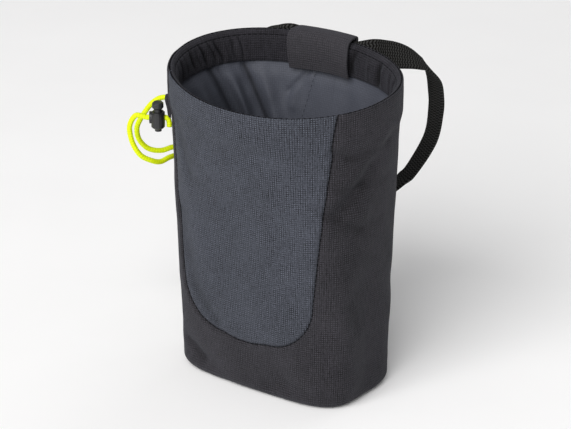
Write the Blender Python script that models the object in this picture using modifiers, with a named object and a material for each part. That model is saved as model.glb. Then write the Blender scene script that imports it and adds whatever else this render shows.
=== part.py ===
"""A climbing chalk bag: a fabric bucket with a stiffened rim, a waist belt and a draw cord.

Metres, +Z up, front facing -Y. The origin is the middle of the flat base.
A place on the wall is given by its share of the girth, from 0 at the middle of the front
through 0.25 on the +X side to 0.5 at the back, and by its height.
"""

import math

import bmesh
import bpy
import numpy as np
from mathutils import Vector

# The bag
HEIGHT = 0.170
RIM_WIDTH = 0.1274
RIM_DEPTH = 0.1042
RIM_SQUARENESS = 2.09
BASE_WIDTH = 0.1090
BASE_DEPTH = 0.0662
BASE_SQUARENESS = 3.9
FLARE = 1.19
BASE_EDGE = 0.006
BACK_RISE = 0.005
LEFT_RISE = 0.0029
SIDE_RISE = 0.0010
WALL = 0.0020
CLEARANCE = 0.0003
DENT_DEPTH = 0.004
DENT_FADE = 0.022

# The rim's stiffened band
BAND_DEPTH = 0.018
BAND_WALL = 0.0024
BAND_GAP = 0.0006
BAND_LIP = 0.0016
BAND_SWELL = 0.0016
SWELL_BELOW_RIM = 0.0246
SWELL_RUN = 0.0088
GATHER_DEPTH = 0.0013

# The lining
LINING_WALL = 0.0012
LINING_GAP = 0.0006
FOLD_DEPTH = 0.0055

# The front panel, seen from the front
PANEL_TOP_HALF = 0.0545
PANEL_LOW_HALF = 0.0387
PANEL_BOTTOM = 0.0300
PANEL_CORNER = 0.0285
PANEL_BOTTOM_RISE = 0.0020
SEAM_GAP = 0.0003

# The belt and its tunnel
BELT_WIDTH = 0.015
BELT_THICK = 0.0014
BELT_ABOVE_RIM = 0.0004
BELT_REST_GAP = 0.0005
TUNNEL_LEFT = -0.0299
TUNNEL_RIGHT = 0.0082
TUNNEL_LEAN = 0.0026
TUNNEL_WALL = 0.0012
TUNNEL_SLACK = 0.0010
TUNNEL_INSIDE = 0.0190
TUNNEL_TAB = 0.007
TUNNEL_CURL = 0.0014
BUCKLE_LENGTH = 0.034
BUCKLE_WIDTH = 0.021
BUCKLE_THICK = 0.0062
BUCKLE_POCKET = 0.005
BUCKLE_EDGE = 0.0016

# The draw cord and its lock
CORD_DIAMETER = 0.0028
CORD_CLEARANCE = 0.00045
LOCK_WIDTH = 0.0072
LOCK_DEEP = 0.0094
LOCK_WALL = 0.0014
LOCK_FIT = 0.0003
LOCK_BELOW_CORD = 0.0055
LOCK_ABOVE_CORD = 0.0032
LOCK_NUB_DIAMETER = 0.0036
LOCK_NUB_LENGTH = 0.0020
LOCK_BOSS = 0.0009
BUTTON_TRAVEL = 0.0012
BUTTON_HEAD_HEIGHT = 0.0030
BUTTON_HEAD_DEEP = 0.0074
BUTTON_HEAD_WIDTH = 0.0060
BUTTON_NECK = 0.0010
BUTTON_STRIP = 0.0008
TAB_HEIGHT = 0.0090
TAB_STAND = 0.0020
TAB_WIDTH = 0.0060

# Where things sit on the wall
LOCK_PLACE = Vector((-0.0592, -0.0312, 0.1413))
LOCK_TURN = math.radians(36.4)
TAB_SHARE = 0.8335
TAB_LEVEL = 0.872
BUCKLE_ACROSS = -0.942
BUCKLE_BEHIND = 1.44

# Fineness
COLUMNS = 50
WALL_LEVELS = (0.10, 0.20, 0.31, 0.42, 0.53, 0.64, 0.73, 0.81, 0.85, 0.88, 0.91, 0.95)
CORNER_ROWS = 3
BAND_COLUMNS = 2 * COLUMNS
TUNNEL_COLUMNS = 9
BELT_STATIONS = 68
CORD_POINTS = 53

# Dents of the outer wall: from one place to another, by share of the girth and of the height,
# with the half width as a share of the height and the depth as a share of DENT_DEPTH.
# A negative depth is a ridge.
DENTS = (
    ("girth", "level", "to girth", "to level", "half width", "depth"),
    (0.165, 0.46, 0.205, 0.08, 0.050, -0.45),
    (0.235, 0.40, 0.260, 0.10, 0.070, 0.60),
    (0.170, 0.66, 0.225, 0.80, 0.035, 0.55),
    (0.160, 0.72, 0.250, 0.88, 0.030, -0.40),
    (0.150, 0.62, 0.215, 0.66, 0.032, -0.35),
    (0.050, 0.035, 0.075, 0.060, 0.040, 0.55),
    (0.880, 0.075, 0.915, 0.035, 0.045, 0.60),
    (0.960, 0.55, 0.040, 0.62, 0.130, 0.30),
    (0.480, 0.30, 0.520, 0.70, 0.120, 0.45),
    (0.730, 0.35, 0.760, 0.72, 0.070, 0.50),
    (0.290, 0.68, 0.305, 0.36, 0.085, 0.28),
)

# Folds of the lining, in the same columns, with depths as shares of FOLD_DEPTH, inwards.
FOLDS = (
    ("girth", "level", "to girth", "to level", "half width", "depth"),
    (0.700, 0.90, 0.640, 0.60, 0.026, 0.95),
    (0.745, 0.88, 0.690, 0.56, 0.030, 0.60),
    (0.640, 0.86, 0.590, 0.60, 0.028, 0.80),
    (0.555, 0.90, 0.585, 0.78, 0.024, 0.45),
    (0.470, 0.84, 0.430, 0.55, 0.050, 0.45),
    (0.300, 0.80, 0.340, 0.45, 0.050, 0.50),
    (0.130, 0.78, 0.080, 0.45, 0.055, 0.45),
    (0.880, 0.80, 0.930, 0.40, 0.055, 0.50),
    (0.200, 0.20, 0.820, 0.16, 0.060, 0.40),
)

# Gathers inside the rim's band: share of the girth, half width as a share of the girth,
# and depth as a share of GATHER_DEPTH.
GATHERS = (
    ("girth", "half width", "depth"),
    (0.648, 0.010, 0.55),
    (0.690, 0.010, 0.90),
    (0.718, 0.009, 0.80),
    (0.744, 0.009, 1.00),
    (0.772, 0.009, 0.85),
    (0.800, 0.010, 1.00),
    (0.828, 0.010, 0.70),
    (0.452, 0.009, 0.70),
    (0.424, 0.010, 1.00),
    (0.392, 0.010, 0.75),
    (0.365, 0.010, 0.90),
)

# The belt from the buckle round by +X and back: the middle of the webbing as shares of half
# the rim's width, half its depth and the height above the table, and the way its outer edge
# points. The stretch inside the tunnel comes from the wall, between the two lists.
BELT_RIGHT = (
    ("across", "behind", "up", "edge x", "edge y", "edge z"),
    (-0.744, 1.440, 0.0141, 0.00, 1.00, 0.00),
    (-0.650, 1.440, 0.0140, 0.00, 1.00, 0.00),
    (-0.520, 1.415, 0.006, 0.00, 1.00, 0.00),
    (-0.345, 1.344, 0.028, -0.05, 1.00, 0.00),
    (-0.157, 1.267, 0.122, -0.15, 0.98, 0.00),
    (-0.063, 1.190, 0.240, -0.25, 0.96, 0.00),
    (0.031, 1.209, 0.346, -0.36, 0.93, 0.00),
    (0.188, 1.267, 0.452, -0.48, 0.88, 0.00),
    (0.374, 1.395, 0.536, -0.65, 0.75, 0.04),
    (0.438, 1.494, 0.569, -0.76, 0.65, 0.00),
    (0.538, 1.655, 0.670, -0.83, 0.56, 0.01),
    (0.563, 1.702, 0.765, -0.88, 0.48, 0.00),
    (0.559, 1.700, 0.824, -0.90, 0.44, -0.02),
    (0.542, 1.683, 0.871, -0.88, 0.48, 0.00),
    (0.513, 1.615, 0.911, -0.78, 0.62, 0.07),
    (0.475, 1.561, 0.928, -0.70, 0.67, 0.20),
    (0.431, 1.484, 0.943, -0.60, 0.68, 0.41),
    (0.347, 1.359, 0.958, -0.42, 0.52, 0.74),
    (0.290, 1.230, 0.969, -0.26, 0.36, 0.89),
    (0.240, 1.100, 0.978, -0.10, 0.18, 0.98),
)
BELT_LEFT = (
    ("across", "behind", "up", "edge x", "edge y", "edge z"),
    (-0.580, 0.898, 0.976, 0.00, 0.04, 1.00),
    (-0.740, 0.950, 0.961, 0.00, 0.10, 0.98),
    (-0.942, 1.002, 0.890, 0.05, 0.30, 0.90),
    (-1.162, 1.075, 0.799, 0.05, 0.65, 0.70),
    (-1.413, 1.171, 0.669, 0.03, 0.90, 0.40),
    (-1.617, 1.267, 0.522, 0.00, 0.98, 0.15),
    (-1.758, 1.344, 0.358, 0.00, 1.00, 0.04),
    (-1.837, 1.401, 0.216, 0.00, 1.00, 0.00),
    (-1.790, 1.440, 0.087, 0.00, 1.00, 0.00),
    (-1.601, 1.459, 0.012, 0.00, 1.00, 0.00),
    (-1.400, 1.450, 0.001, 0.00, 1.00, 0.00),
    (-1.235, 1.440, 0.0140, 0.00, 1.00, 0.00),
    (-1.140, 1.440, 0.0141, 0.00, 1.00, 0.00),
)

# The draw cord's route, by hand: out of the bag, round one strand, back round the other,
# through the lock and into the bag again.
CORD_ROUTE = (
    (-0.0577, -0.0235, 0.1499),
    (-0.0602, -0.0243, 0.1502),
    (-0.0641, -0.0249, 0.1487),
    (-0.0678, -0.0264, 0.1454),
    (-0.0706, -0.0278, 0.1412),
    (-0.0734, -0.0293, 0.1360),
    (-0.0750, -0.0299, 0.1310),
    (-0.0747, -0.0284, 0.1245),
    (-0.0719, -0.0245, 0.1191),
    (-0.0679, -0.0190, 0.1172),
    (-0.0647, -0.0130, 0.1180),
    (-0.0645, -0.0088, 0.1157),
    (-0.0637, -0.0108, 0.1135),
    (-0.0632, -0.0181, 0.1140),
    (-0.0637, -0.0246, 0.1135),
    (-0.0651, -0.0300, 0.1154),
    (-0.0682, -0.0354, 0.1194),
    (-0.0707, -0.0385, 0.1264),
    (-0.0716, -0.0398, 0.1341),
    (-0.0705, -0.0396, 0.1391),
    (-0.0684, -0.0381, 0.1424),
    (-0.0657, -0.0361, 0.1420),
    (-0.0643, -0.0350, 0.1414),
    (-0.0628, -0.0339, 0.1413),
    (-0.0592, -0.0312, 0.1413),
    (-0.0563, -0.0291, 0.1413),
    (-0.0549, -0.0281, 0.1403),
    (-0.0545, -0.0278, 0.1384),
    (-0.0545, -0.0278, 0.1362),
)


def mix(a, b, share):
    return a + (b - a) * share


def smooth(value):
    t = min(1.0, max(0.0, value))
    return t * t * (3 - 2 * t)


def rows_of(table):
    return table[1:]


def crease(table, girth_share, level, girth):
    """How far the dents or folds of a table reach here, as a share of their full depth."""
    total = 0.0
    for share, low, to_share, to_level, half_width, depth in rows_of(table):
        run = ((to_share - share + 0.5) % 1.0 - 0.5) * girth
        if abs(to_share - share) > 0.5:
            run = (to_share - share) * girth
        rise = (to_level - low) * HEIGHT
        off = (girth_share - share) % 1.0
        off = (off - 1.0 if off > 0.5 and run < girth / 2 else off) * girth
        up = (level - low) * HEIGHT
        along = (off * run + up * rise) / (run * run + rise * rise)
        along = min(1.0, max(0.0, along))
        distance = math.hypot(off - along * run, up - along * rise)
        total += depth * math.exp(-((distance / (half_width * HEIGHT)) ** 2))
    return total


def rise(girth_share, level):
    """How much higher the wall stands at this place of the rim than its mean height."""
    turn = 2 * math.pi * girth_share
    full = -BACK_RISE * math.cos(turn) - LEFT_RISE * math.sin(turn)
    full -= SIDE_RISE * math.cos(2 * turn)
    return full * level**2


def half_sizes(level, inset):
    """Half the width, half the depth and the squareness of the wall's section at a level."""
    open_share = max(0.0, level) ** FLARE
    swell = BAND_SWELL * smooth((SWELL_BELOW_RIM - (1.0 - level) * HEIGHT) / SWELL_RUN)
    width = mix(BASE_WIDTH / 2, RIM_WIDTH / 2 - BAND_SWELL, open_share)
    depth = mix(BASE_DEPTH / 2, RIM_DEPTH / 2 - BAND_SWELL, open_share)
    square = mix(BASE_SQUARENESS, RIM_SQUARENESS, min(1.0, level))
    return width + swell - inset, depth + swell - inset, square


def section(level, inset, shares):
    """Points of a section of the wall, at shares of its girth, and the girth."""
    width, depth, square = half_sizes(level, inset)
    turn = np.linspace(0, 2 * math.pi, 721)
    power = 2.0 / square
    x = width * np.sign(np.sin(turn)) * np.abs(np.sin(turn)) ** power
    y = -depth * np.sign(np.cos(turn)) * np.abs(np.cos(turn)) ** power
    along = np.concatenate([[0], np.cumsum(np.hypot(np.diff(x), np.diff(y)))])
    at = np.mod(shares, 1.0) * along[-1]
    return np.interp(at, along, x), np.interp(at, along, y), along[-1]


def wall_point(share, height, inset, dented=True):
    """A point of the wall, that far inside its outer surface."""
    level = height / HEIGHT
    x, y, girth = section(level, inset, np.array([share - 0.002, share, share + 0.002]))
    out = Vector((y[2] - y[0], x[0] - x[2], 0)).normalized()
    place = Vector((x[1], y[1], height + rise(share, level)))
    if dented:
        fade = smooth(height / BASE_EDGE / 2) * smooth((HEIGHT - height) / DENT_FADE)
        place -= out * DENT_DEPTH * fade * crease(DENTS, share, level, girth)
    return place


def outward(share, height):
    level = height / HEIGHT
    x, y, _ = section(level, 0.0, np.array([share - 0.002, share + 0.002]))
    return Vector((y[1] - y[0], x[0] - x[1], 0)).normalized()


def share_at_back(x, height):
    """The share of the girth where the back wall has this x."""
    shares = np.linspace(0.30, 0.70, 801)
    places, _, _ = section(height / HEIGHT, 0.0, shares)
    return float(shares[np.abs(places - x).argmin()])


def tub_rows(inset, top):
    """Heights and insets of a bucket's rows, from the floor round the edge to the top."""
    radius = BASE_EDGE - inset
    rows = []
    for step in range(CORNER_ROWS + 1):
        turn = math.pi / 2 * step / CORNER_ROWS
        height = BASE_EDGE - radius * math.cos(turn)
        rows.append((height, BASE_EDGE - radius * math.sin(turn)))
    heights = [level * HEIGHT for level in WALL_LEVELS if level * HEIGHT < top - WALL]
    return rows + [(height, inset) for height in (*heights, top)]


def smooth_path(points, count):
    """That many places evenly spaced along a smooth curve through the points."""
    points = np.array(points, float)
    before = 2 * points[:1] - points[1:2]
    after = 2 * points[-1:] - points[-2:-1]
    p = np.vstack([before, points, after])
    fine = []
    for i in range(1, len(p) - 2):
        t = np.linspace(0, 1, 20, endpoint=False)[:, None]
        a, b, c, d = p[i - 1], p[i], p[i + 1], p[i + 2]
        curve = 2 * b + (c - a) * t + (2 * a - 5 * b + 4 * c - d) * t**2
        fine.append(0.5 * (curve + (3 * b - a - 3 * c + d) * t**3))
    fine = np.vstack([*fine, points[-1:]])
    steps = np.linalg.norm(np.diff(fine[:, :3], axis=0), axis=1)
    along = np.concatenate([[0], np.cumsum(steps)])
    at = np.linspace(0, along[-1], count)
    return np.stack([np.interp(at, along, fine[:, k]) for k in range(p.shape[1])], axis=1)


def clear_scene():
    for found in list(bpy.data.objects):
        bpy.data.objects.remove(found)


def new_collection(name):
    made = bpy.data.collections.new(name)
    bpy.context.scene.collection.children.link(made)
    return made


def finish(name, colour, roughness, metallic=0.0):
    made = bpy.data.materials.new(name)
    made.use_nodes = True
    shader = made.node_tree.nodes["Principled BSDF"]
    shader.inputs["Base Color"].default_value = (*colour, 1)
    shader.inputs["Roughness"].default_value = roughness
    shader.inputs["Metallic"].default_value = metallic
    return made


def add(name, mesh, collection, material):
    made = bpy.data.objects.new(name, mesh)
    collection.objects.link(made)
    if material:
        mesh.materials.append(material)
    return made


def loft(name, rings, closed_round, end_caps=()):
    """A surface through rings of points. A closed ring joins its last point to its first."""
    shape = bmesh.new()
    grid = [[shape.verts.new(point) for point in ring] for ring in rings]
    columns = len(grid[0])
    for low, high in zip(grid, grid[1:]):
        for i in range(columns if closed_round else columns - 1):
            j = (i + 1) % columns
            shape.faces.new((low[i], low[j], high[j], high[i]))
    for end in end_caps:
        ring = grid[end]
        middle = shape.verts.new(sum((v.co for v in ring), Vector()) / columns)
        for i in range(columns):
            j = (i + 1) % columns
            pair = (ring[j], ring[i]) if end == 0 else (ring[i], ring[j])
            shape.faces.new((*pair, middle))
    mesh = bpy.data.meshes.new(name)
    shape.to_mesh(mesh)
    shape.free()
    mesh.shade_smooth()
    return mesh


def thicken(part, thickness, offset):
    solid = part.modifiers.new("Thickness", "SOLIDIFY")
    solid.thickness = thickness
    solid.offset = offset
    solid.use_even_offset = True


def cut(part, cutter, operation="DIFFERENCE"):
    boolean = part.modifiers.new(cutter.name, "BOOLEAN")
    boolean.operation = operation
    boolean.object = cutter
    boolean.solver = "EXACT"


def as_cutter(part):
    part.hide_render = True
    part.display_type = "WIRE"


def wall_mesh(name):
    top = HEIGHT - BAND_LIP - CLEARANCE
    rows = [(0.0, BASE_EDGE + WALL * 1.5)] + tub_rows(0.0, top)
    rings = [
        [wall_point(i / COLUMNS, height, inset) for i in range(COLUMNS)]
        for height, inset in rows
    ]
    return loft(name, rings, True)


def panel_outline(grow):
    """The front panel's edge in x and z, that much larger than its seam line."""
    top = HEIGHT * 1.2
    slope = (PANEL_TOP_HALF - PANEL_LOW_HALF) / (HEIGHT - PANEL_BOTTOM)
    corner_x = PANEL_LOW_HALF + slope * PANEL_CORNER - PANEL_CORNER
    floor = PANEL_BOTTOM + PANEL_BOTTOM_RISE
    half = [(PANEL_LOW_HALF + slope * (top - PANEL_BOTTOM) + grow, top)]
    for step in range(9):
        turn = math.pi / 2 * step / 8
        reach = PANEL_CORNER + grow
        x = corner_x + reach * math.cos(turn)
        z = floor + PANEL_CORNER - reach * math.sin(turn)
        half.append((x, z))
    for step in range(1, 5):
        share = step / 5
        sag = PANEL_BOTTOM_RISE * (1 - (1 - share) ** 2)
        half.append((corner_x * (1 - share), floor - sag - grow))
    bottom = [(0.0, PANEL_BOTTOM - grow)]
    return half + bottom + [(-x, z) for x, z in reversed(half)]


def panel_cutter(name, grow, collection):
    outline = panel_outline(grow)
    rings = [[(x, y, z) for x, z in outline] for y in (-RIM_DEPTH, 0.0)]
    part = add(name, loft(name, rings, True, (0, 1)), collection, None)
    as_cutter(part)
    return part


def make_wall(parts, cutters):
    """The charcoal wall with its opening for the front panel, and the panel that fills it."""
    charcoal = finish("charcoal fabric", (0.030, 0.029, 0.034), 0.85)
    slate = finish("slate fabric", (0.080, 0.087, 0.107), 0.85)
    hole = panel_cutter("panel_hole", SEAM_GAP / 2, cutters)
    body = add("body_shell", wall_mesh("body_shell"), parts, charcoal)
    thicken(body, WALL, -1)
    cut(body, hole)
    kept = panel_cutter("panel_kept", -SEAM_GAP / 2, cutters)
    panel = add("front_panel", wall_mesh("front_panel"), parts, slate)
    thicken(panel, WALL, -1)
    cut(panel, kept, "INTERSECT")


def make_base(parts):
    """The flat oval that closes the bottom, on which the bag stands."""
    charcoal = finish("base fabric", (0.028, 0.027, 0.031), 0.85)
    shares = np.arange(COLUMNS) / COLUMNS
    x, y, _ = section(0.0, BASE_EDGE + WALL * 1.5 + CLEARANCE, shares)
    rings = [[(a, b, height) for a, b in zip(x, y)] for height in (0.0, WALL)]
    add("base_panel", loft("base_panel", rings, True, (0, 1)), parts, charcoal)


def make_lining(parts):
    """The inner bucket, with the folds that it falls into."""
    grey = finish("lining fabric", (0.060, 0.066, 0.083), 0.6)
    inset = WALL + LINING_GAP
    rings = []
    for height, row_inset in tub_rows(inset, HEIGHT - BAND_DEPTH - 2 * LINING_GAP):
        level = height / HEIGHT
        ring = []
        for i in range(COLUMNS):
            share = i / COLUMNS
            _, _, girth = section(level, row_inset, np.array([share]))
            fold = crease(FOLDS, share, level, girth)
            fold *= smooth(height / BASE_EDGE / 3) * FOLD_DEPTH
            top_fade = smooth((HEIGHT - BAND_DEPTH - height) / BAND_DEPTH * 2.5)
            place = wall_point(share, height, row_inset)
            place -= outward(share, height) * fold * (0.25 + 0.75 * top_fade)
            ring.append(place)
        rings.append(ring)
    part = add("lining", loft("lining", rings, True, (0,)), parts, grey)
    thicken(part, LINING_WALL, -1)


def gather(share):
    total = 0.0
    for middle, half_width, depth in rows_of(GATHERS):
        total += depth * math.exp(-(((share - middle) / half_width) ** 2))
    return total


def make_band(parts):
    """The stiffened facing inside the rim, with a lip that caps the wall's top edge."""
    charcoal = finish("band fabric", (0.021, 0.020, 0.024), 0.85)
    outer = WALL + BAND_GAP
    profile = (
        ("inset", "below the rim", "gathered"),
        (outer, BAND_DEPTH, 0.0),
        (outer, BAND_DEPTH * 0.7, 0.0),
        (outer, BAND_LIP, 0.0),
        (CLEARANCE, BAND_LIP, 0.0),
        (CLEARANCE + BAND_LIP * 0.15, BAND_LIP * 0.45, 0.0),
        (CLEARANCE + BAND_LIP * 0.8, 0.0, 0.0),
        (outer + BAND_WALL * 0.6, BAND_LIP * 0.2, 0.0),
        (outer + BAND_WALL, BAND_LIP * 1.2, 0.2),
        (outer + BAND_WALL, BAND_DEPTH * 0.5, 1.0),
        (outer + BAND_WALL, BAND_DEPTH, 0.8),
    )
    rings = []
    for inset, below, gathered in rows_of(profile):
        ring = []
        for i in range(BAND_COLUMNS):
            share = i / BAND_COLUMNS
            depth = inset + GATHER_DEPTH * gathered * gather(share)
            ring.append(wall_point(share, HEIGHT - below, depth, dented=False))
        rings.append(ring)
    rings.append(rings[0])
    part = add("rim_band", loft("rim_band", rings, True), parts, charcoal)
    shape = bmesh.new()
    shape.from_mesh(part.data)
    bmesh.ops.remove_doubles(shape, verts=shape.verts, dist=1e-6)
    bmesh.ops.recalc_face_normals(shape, faces=shape.faces)
    shape.to_mesh(part.data)
    shape.free()


def belt_rows():
    """The belt's middle line and the way its outer edge points, all the way round."""
    def placed(table):
        for across, behind, up, *edge in rows_of(table):
            x, y = across * RIM_WIDTH / 2, behind * RIM_DEPTH / 2
            yield (x, y, BELT_REST_GAP + BELT_THICK / 2 + up * HEIGHT, *edge)

    inside = []
    stand_off = -(CLEARANCE + BELT_THICK / 2)
    for step in range(7):
        share = share_at_back(mix(TUNNEL_RIGHT, TUNNEL_LEFT, step / 6), HEIGHT)
        top = wall_point(share, HEIGHT + BELT_ABOVE_RIM, stand_off, dented=False)
        low = wall_point(share, HEIGHT + BELT_ABOVE_RIM - BELT_WIDTH, stand_off, dented=False)
        inside.append((*((top + low) / 2), *(top - low).normalized()))
    return [*placed(BELT_RIGHT), *inside, *placed(BELT_LEFT)]


def make_belt(parts):
    """The webbing: through the tunnel, down both sides behind the bag and along the table."""
    black = finish("webbing", (0.030, 0.030, 0.031), 0.75)
    path = smooth_path(belt_rows(), BELT_STATIONS)
    rings = []
    for i, row in enumerate(path):
        here = Vector(row[:3])
        ahead = Vector(path[min(i + 1, len(path) - 1)][:3])
        behind = Vector(path[max(i - 1, 0)][:3])
        run = (ahead - behind).normalized()
        edge = Vector(row[3:])
        edge = (edge - run * edge.dot(run)).normalized()
        face = run.cross(edge)
        across, through = edge * BELT_WIDTH / 2, face * BELT_THICK / 2
        corners = (across + through, -across + through, -across - through, across - through)
        rings.append([here + corner for corner in corners])
    part = add("waist_belt", loft("waist_belt", rings, True, (0, -1)), parts, black)
    part.data.set_sharp_from_angle(angle=math.radians(40))


def rounded_box(name, size, edge, collection, material, segments=2):
    shape = bmesh.new()
    bmesh.ops.create_cube(shape, size=1.0)
    bmesh.ops.scale(shape, vec=size, verts=shape.verts)
    bmesh.ops.bevel(
        shape, geom=shape.edges[:], offset=edge, segments=segments, affect="EDGES"
    )
    mesh = bpy.data.meshes.new(name)
    shape.to_mesh(mesh)
    shape.free()
    return add(name, mesh, collection, material)


def make_buckle(parts, cutters):
    """The belt's clasp, one plain piece, lying behind the bag with the belt's ends in it."""
    black = finish("buckle plastic", (0.015, 0.015, 0.016), 0.4)
    size = (BUCKLE_LENGTH, BUCKLE_WIDTH, BUCKLE_THICK)
    part = rounded_box("belt_buckle", size, BUCKLE_EDGE, parts, black)
    x, y = BUCKLE_ACROSS * RIM_WIDTH / 2, BUCKLE_BEHIND * RIM_DEPTH / 2
    middle = Vector((x, y, BUCKLE_THICK / 2 + BELT_REST_GAP))
    part.location = middle
    room = (BUCKLE_POCKET * 2, BELT_WIDTH + 2 * CLEARANCE, BELT_THICK + 2 * CLEARANCE)
    for side in (-1, 1):
        name = "pocket_left" if side < 0 else "pocket_right"
        pocket = rounded_box(name, room, BELT_THICK / 5, cutters, None, 1)
        pocket.location = middle + Vector((side * BUCKLE_LENGTH / 2, 0, 0))
        as_cutter(pocket)
        cut(part, pocket)


def tunnel_profile(curl):
    """The tunnel's section at one place across it: inset, distance below the rim and lean."""
    face = WALL + BAND_GAP + BAND_WALL + CLEARANCE * 2 + TUNNEL_CURL * curl
    back = -(CLEARANCE + BELT_THICK + TUNNEL_SLACK)
    over = -(BELT_ABOVE_RIM + TUNNEL_SLACK)
    belt_low = BELT_WIDTH - BELT_ABOVE_RIM + TUNNEL_SLACK
    return (
        (face + 0.3 * TUNNEL_CURL * curl, TUNNEL_INSIDE, 1.0),
        (face, TUNNEL_INSIDE * 0.72, 0.6),
        (face, TUNNEL_INSIDE * 0.42, 0.3),
        (face - TUNNEL_CURL * curl * 0.35, TUNNEL_INSIDE * 0.14, 0.1),
        (face * 0.86 - TUNNEL_CURL * curl * 0.6, -CLEARANCE * 2, 0.0),
        (face * 0.5, over * 0.82, 0.0),
        (back * 0.1, over * 1.12, 0.0),
        (back * 0.82, over * 0.95, 0.0),
        (back, over * 0.2, 0.0),
        (back, belt_low * 0.5, 0.0),
        (back, belt_low, 0.0),
        (-CLEARANCE, belt_low + 0.003, 0.0),
        (-CLEARANCE, belt_low + TUNNEL_TAB, 0.0),
    )


def make_tunnel(parts):
    """The strip folded over the back of the rim, which holds the belt against the wall."""
    charcoal = finish("tunnel fabric", (0.040, 0.039, 0.045), 0.85)
    left = share_at_back(TUNNEL_LEFT, HEIGHT)
    right = share_at_back(TUNNEL_RIGHT, HEIGHT)
    lean = (right - left) * TUNNEL_LEAN / (TUNNEL_RIGHT - TUNNEL_LEFT)
    columns = []
    for i in range(TUNNEL_COLUMNS):
        share = i / (TUNNEL_COLUMNS - 1)
        curl = max(0.0, share - 0.55) / 0.45
        place = mix(left, right, share)
        columns.append(
            [
                wall_point(place + lean * leaning, HEIGHT - below, inset, dented=False)
                for inset, below, leaning in tunnel_profile(curl**2)
            ]
        )
    part = add("belt_tunnel", loft("belt_tunnel", columns, False), parts, charcoal)
    thicken(part, TUNNEL_WALL, -1)


def lock_frame():
    """A turn that puts +X along the way the cord runs through the lock, towards the bag."""
    return (0, 0, LOCK_TURN)


def oval_bar(name, width, deep, low, high, collection, material, edge=0.0):
    """An upright bar with half round ends across the lock's depth."""
    rings = []
    inner = max(0.0, (deep - width) / 2)
    heights = [(low, edge), (low + edge, 0.0), (high - edge, 0.0), (high, edge)]
    if not edge:
        heights = [(low, 0.0), (high, 0.0)]
    for height, shrink in heights:
        radius = width / 2 - shrink
        ring = []
        for i in range(16):
            turn = 2 * math.pi * (i + 0.5) / 16
            shift = math.copysign(inner, math.sin(turn))
            ring.append((radius * math.cos(turn), radius * math.sin(turn) + shift, height))
        rings.append(ring)
    ends = (0, -1)
    part = add(name, loft(name, rings, True, ends), collection, material)
    part.location = LOCK_PLACE
    part.rotation_euler = lock_frame()
    part.data.set_sharp_from_angle(angle=math.radians(40))
    return part


def rod(name, diameter, length, collection, along_x):
    shape = bmesh.new()
    bmesh.ops.create_cone(
        shape, cap_ends=True, segments=16, radius1=diameter / 2, radius2=diameter / 2, depth=length
    )
    mesh = bpy.data.meshes.new(name)
    shape.to_mesh(mesh)
    shape.free()
    part = add(name, mesh, collection, None)
    part.location = LOCK_PLACE
    part.rotation_euler = (0, math.pi / 2, LOCK_TURN) if along_x else lock_frame()
    return part


def make_lock(parts, cutters):
    """The cord lock: a barrel with a bore and a cross hole, and the button that springs in it."""
    black = finish("lock plastic", (0.020, 0.020, 0.022), 0.35)
    hole = CORD_DIAMETER + 2 * CORD_CLEARANCE
    bore_width = LOCK_WIDTH - 2 * LOCK_WALL
    bore_deep = LOCK_DEEP - 2 * LOCK_WALL
    barrel = oval_bar(
        "lock_barrel", LOCK_WIDTH, LOCK_DEEP, -LOCK_BELOW_CORD, LOCK_ABOVE_CORD, parts, black, 0.0008
    )
    nub = rod("lock_nub", LOCK_NUB_DIAMETER, LOCK_NUB_LENGTH * 2, cutters, False)
    nub.location = LOCK_PLACE - Vector((0, 0, LOCK_BELOW_CORD))
    as_cutter(nub)
    cut(barrel, nub, "UNION")
    boss = rod("lock_boss", hole + 2 * LOCK_WALL, LOCK_WIDTH / 2 + LOCK_BOSS, cutters, True)
    out = Vector((math.cos(LOCK_TURN), math.sin(LOCK_TURN), 0))
    boss.location = LOCK_PLACE - out * (LOCK_WIDTH / 2 + LOCK_BOSS) / 2
    as_cutter(boss)
    cut(barrel, boss, "UNION")
    floor = LOCK_WALL - LOCK_BELOW_CORD
    bore = oval_bar(
        "lock_bore", bore_width, bore_deep, floor, LOCK_ABOVE_CORD * 2, cutters, None
    )
    as_cutter(bore)
    cut(barrel, bore)
    cross = rod("lock_cross_hole", hole, LOCK_WIDTH * 3, cutters, True)
    as_cutter(cross)
    cut(barrel, cross)

    stem_low = -(hole / 2 + BUTTON_STRIP)
    stem_high = LOCK_ABOVE_CORD + BUTTON_TRAVEL + BUTTON_NECK
    button = oval_bar(
        "lock_button",
        bore_width - 2 * LOCK_FIT,
        bore_deep - 2 * LOCK_FIT,
        stem_low,
        stem_high,
        parts,
        black,
    )
    head = oval_bar(
        "button_head",
        BUTTON_HEAD_WIDTH,
        BUTTON_HEAD_DEEP,
        stem_high - BUTTON_NECK / 2,
        stem_high + BUTTON_HEAD_HEIGHT,
        cutters,
        None,
        0.0008,
    )
    as_cutter(head)
    cut(button, head, "UNION")
    slot = oval_bar(
        "button_slot", hole, hole, -hole / 2, hole / 2 + BUTTON_TRAVEL, cutters, None
    )
    slot_shape = bmesh.new()
    bmesh.ops.create_cube(slot_shape, size=1.0)
    slot_size = (LOCK_WIDTH * 2, hole, hole + BUTTON_TRAVEL)
    bmesh.ops.scale(slot_shape, vec=slot_size, verts=slot_shape.verts)
    bmesh.ops.translate(slot_shape, vec=(0, 0, BUTTON_TRAVEL / 2), verts=slot_shape.verts)
    slot_shape.to_mesh(slot.data)
    slot_shape.free()
    as_cutter(slot)
    cut(button, slot)


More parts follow.
